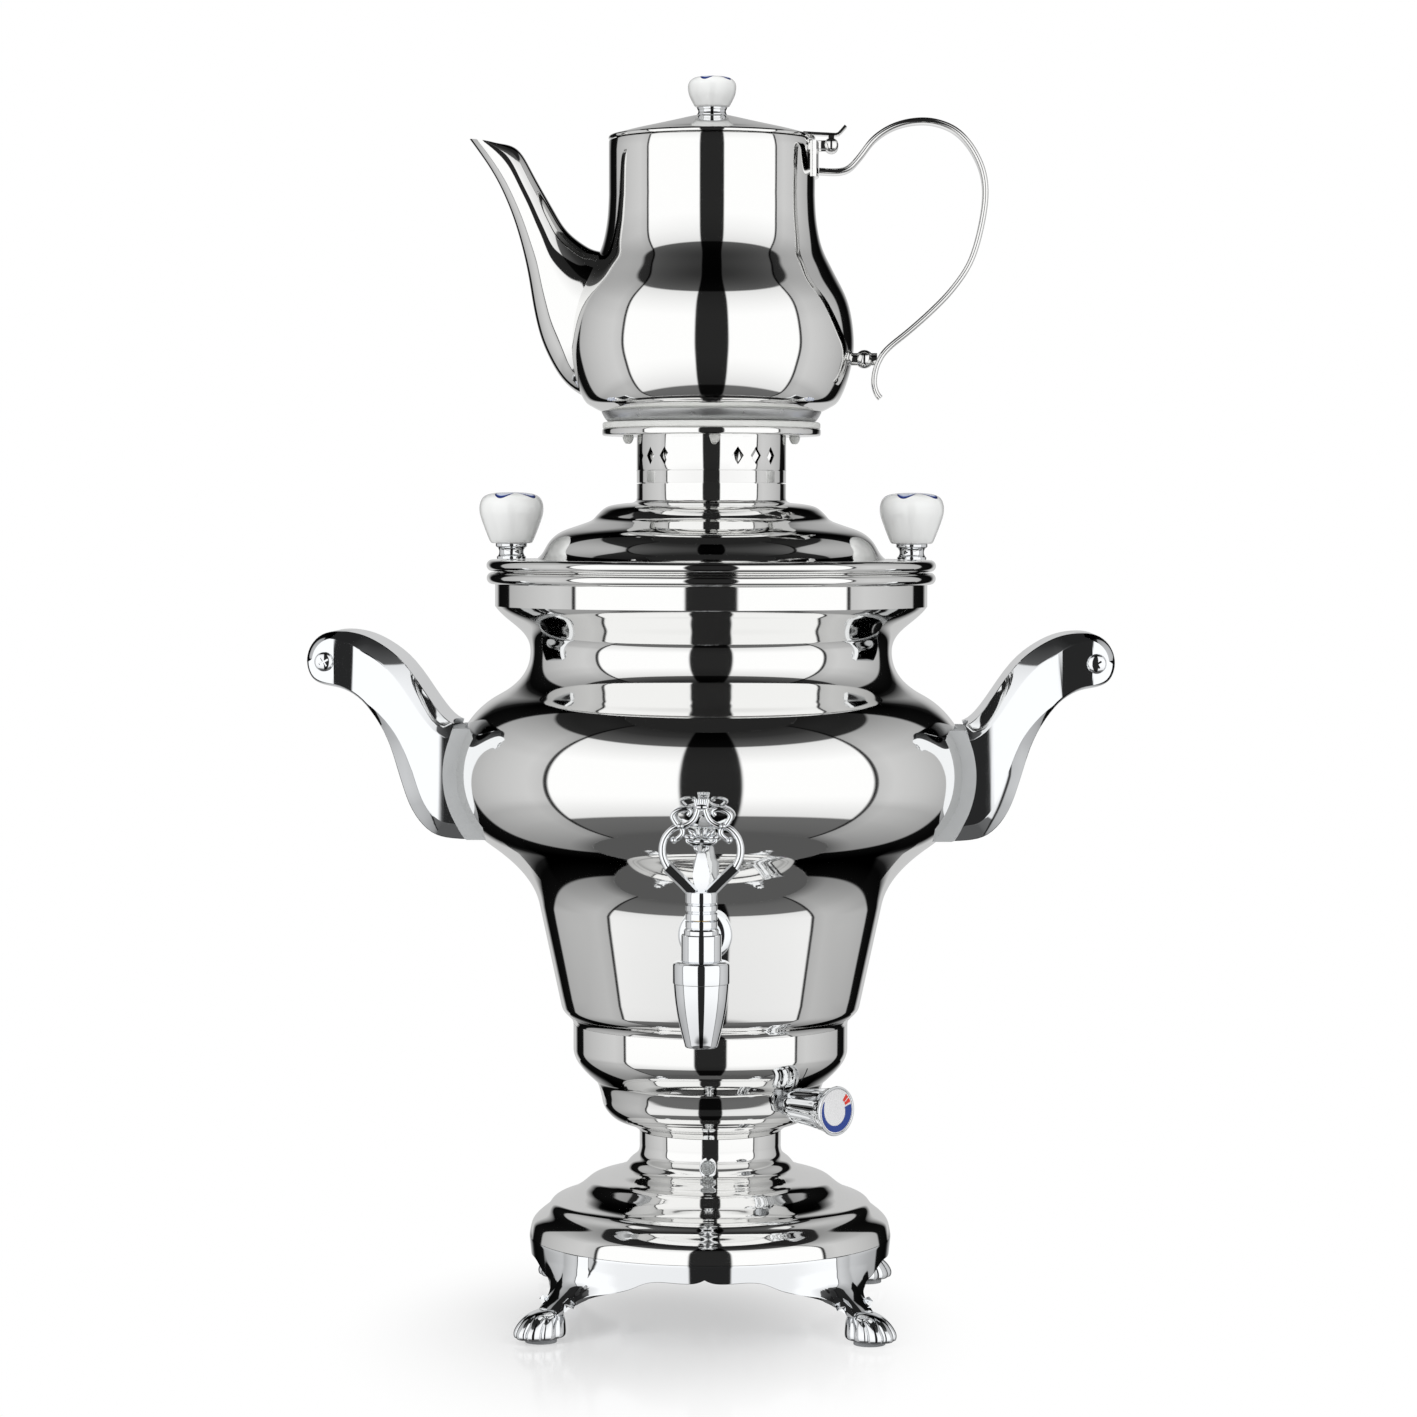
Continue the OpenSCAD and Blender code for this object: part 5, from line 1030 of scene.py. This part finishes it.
def ramp_node(material, source, rows, low, high):
    """A colour ramp through the rows of place and three shares."""
    node = add(material, "ValToRGB", {"Fac": source})
    ramp = node.color_ramp
    for element, row in zip(ramp.elements, (rows[0], rows[-1])):
        element.position, element.color = (row[0] - low) / (high - low), list(row[1:]) + [1]
    for row in rows[1:-1]:
        ramp.elements.new((row[0] - low) / (high - low)).color = list(row[1:]) + [1]
    return node


def from_camera(material):
    """Degrees round the object from the camera's side, and the place it is read at."""
    place = add(material, "TexCoord")
    turned = add(material, "Mapping", {"Vector": (place, "Object"), "Rotation": (0, 0, -CAMERA_TURN)})
    parts = add(material, "SeparateXYZ", {0: (turned, "Vector")})
    front = add(material, "Math", {0: (parts, "Y"), 1: -1.0}, operation="MULTIPLY")
    angle = add(material, "Math", {0: (parts, "X"), 1: (front, 0)}, operation="ARCTAN2")
    angle = add(material, "Math", {0: (angle, 0)}, operation="ABSOLUTE")
    return add(material, "Math", {0: (angle, 0), 1: 180 / math.pi}, operation="MULTIPLY"), parts


def only_light(name):
    """A material that shines and mirrors nothing, and its output."""
    material, shader = surface(name, {})
    material.node_tree.nodes.remove(shader)
    return material, material.node_tree.nodes["Material Output"]


scrim_light, output = only_light("scrims and flags")
degrees, parts = from_camera(scrim_light)
around = add(scrim_light, "Math", {0: (degrees, 0), 1: 180.0}, operation="DIVIDE")
height = add(scrim_light, "MapRange",
             {"Value": (parts, "Z"), "From Min": SCRIM_LOW, "From Max": SCRIM_HIGH})
share = ramp_node(scrim_light, (around, 0), share_by_direction, 0, 180)
level = ramp_node(scrim_light, (height, 0), light_by_height, SCRIM_LOW, SCRIM_HIGH)
value = add(scrim_light, "VectorMath", {0: (share, "Color"), 1: (level, "Color")}, operation="DOT_PRODUCT")
glow = add(scrim_light, "Emission", {"Color": (1, 1, 1, 1), "Strength": (value, "Value")})
wire(scrim_light, output, {"Surface": (glow, 0)})
bm = bmesh.new()
bmesh.ops.create_cone(bm, cap_ends=False, segments=180, radius1=SCRIM_R, radius2=SCRIM_R,
                      depth=SCRIM_HIGH - SCRIM_LOW,
                      matrix=Matrix.Translation((0, 0, (SCRIM_HIGH + SCRIM_LOW) / 2)))


def reflected_only(bm, name, material):
    """A studio card that only mirrors see."""
    card = stand(name, meshed(bm, name, material))
    card.visible_camera = card.visible_diffuse = card.visible_shadow = False
    card.visible_transmission = card.visible_volume_scatter = False


reflected_only(bm, "scrim_ring", scrim_light)


def card_light(name, value):
    """A card of even brightness: its material, its glow and its output."""
    material, output = only_light(name)
    glow = add(material, "Emission", {"Color": (value, value, value, 1), "Strength": 1.0})
    wire(material, output, {"Surface": (glow, 0)})
    return material, glow, output


for name, z, value in (("ceiling_flag", SCRIM_HIGH, 0.02), ("ground_flag", SCRIM_LOW, 0.1)):
    bm = bmesh.new()
    bmesh.ops.create_circle(bm, cap_ends=True, radius=SCRIM_R, segments=96,
                            matrix=Matrix.Translation((0, 0, z)))
    reflected_only(bm, name, card_light(name, value)[0])

# A low white card stands close behind the object; its edges are out of focus.
NEAR_R, NEAR_TOP = 0.45, 0.4
near_light, glow, output = card_light("near rear card", 0.6)
degrees, parts = from_camera(near_light)
sides = add(near_light, "MapRange", {"Value": (degrees, 0), "From Min": 143.0, "From Max": 150.0})
top = add(near_light, "MapRange", {"Value": (parts, "Z"), "From Min": NEAR_TOP, "From Max": NEAR_TOP - 0.1})
shown_share = add(near_light, "Math", {0: (sides, 0), 1: (top, 0)}, operation="MULTIPLY")
clear_air = add(near_light, "BsdfTransparent")
mix = add(near_light, "MixShader", {0: (shown_share, 0), 1: (clear_air, 0), 2: (glow, 0)})
wire(near_light, output, {"Surface": (mix, 0)})
bm = bmesh.new()
bmesh.ops.create_cone(bm, cap_ends=False, segments=180, radius1=NEAR_R, radius2=NEAR_R,
                      depth=NEAR_TOP + 0.02, matrix=Matrix.Translation((0, 0, (NEAR_TOP - 0.02) / 2)))
bmesh.ops.delete(bm, geom=[f for f in bm.faces if f.calc_center_median().y < NEAR_R * 0.75],
                 context="FACES")
reflected_only(bm, "near_rear_card", near_light)

world = bpy.data.worlds.new("studio")
bpy.context.scene.world = world
world.use_nodes = True
path = add(world, "LightPath")
seen = add(world, "Math", {0: (path, "Is Camera Ray"), 1: (path, "Is Glossy Ray")}, operation="MAXIMUM")
seen = add(world, "Math", {0: (seen, 0), 1: (path, "Is Transmission Ray")}, operation="MAXIMUM")
strength = add(world, "MapRange", {"Value": (seen, 0), "To Min": 0.55, "To Max": 1.0})
wire(world, world.node_tree.nodes["Background"], {"Color": (1, 1, 1, 1), "Strength": (strength, 0)})

for name, spot, size, power in (("softbox_left", (-1.1, -1.1, 0.9), 0.9, 9.0),
                                ("softbox_right", (1.1, -1.1, 0.9), 0.9, 7.0),
                                ("softbox_top", (0, 0.1, 1.7), 0.8, 7.0)):
    lamp = bpy.data.lights.new(name, "AREA")
    lamp.energy, lamp.size = power, size
    holder = stand(name, lamp)
    holder.location = spot
    holder.rotation_euler = (Vector((0, 0, 0.25)) - Vector(spot)).to_track_quat("-Z", "Y").to_euler()
    holder.visible_glossy = False

LENS, CAMERA_AWAY, EYE_Z, AIM_Z, AIM_LEFT, CAMERA_ROLL = 101.64, 1.68, 0.334, 0.2551, 0.00105, 0.1
camera_data = bpy.data.cameras.new("camera")
camera_data.sensor_width, camera_data.lens = 36, LENS
camera = stand("camera", camera_data)
right = Vector((math.cos(CAMERA_TURN), math.sin(CAMERA_TURN), 0))
camera.location = Vector((math.sin(CAMERA_TURN), -math.cos(CAMERA_TURN), 0)) * CAMERA_AWAY
camera.location.z = EYE_Z
aim = Vector((0, 0, AIM_Z)) - AIM_LEFT * right
view_turn = (aim - camera.location).to_track_quat("-Z", "Y").to_matrix().to_4x4()
camera.rotation_euler = (view_turn @ Matrix.Rotation(math.radians(CAMERA_ROLL), 4, "Z")).to_euler()
bpy.context.scene.camera = camera
bpy.context.scene.view_settings.view_transform = "Standard"
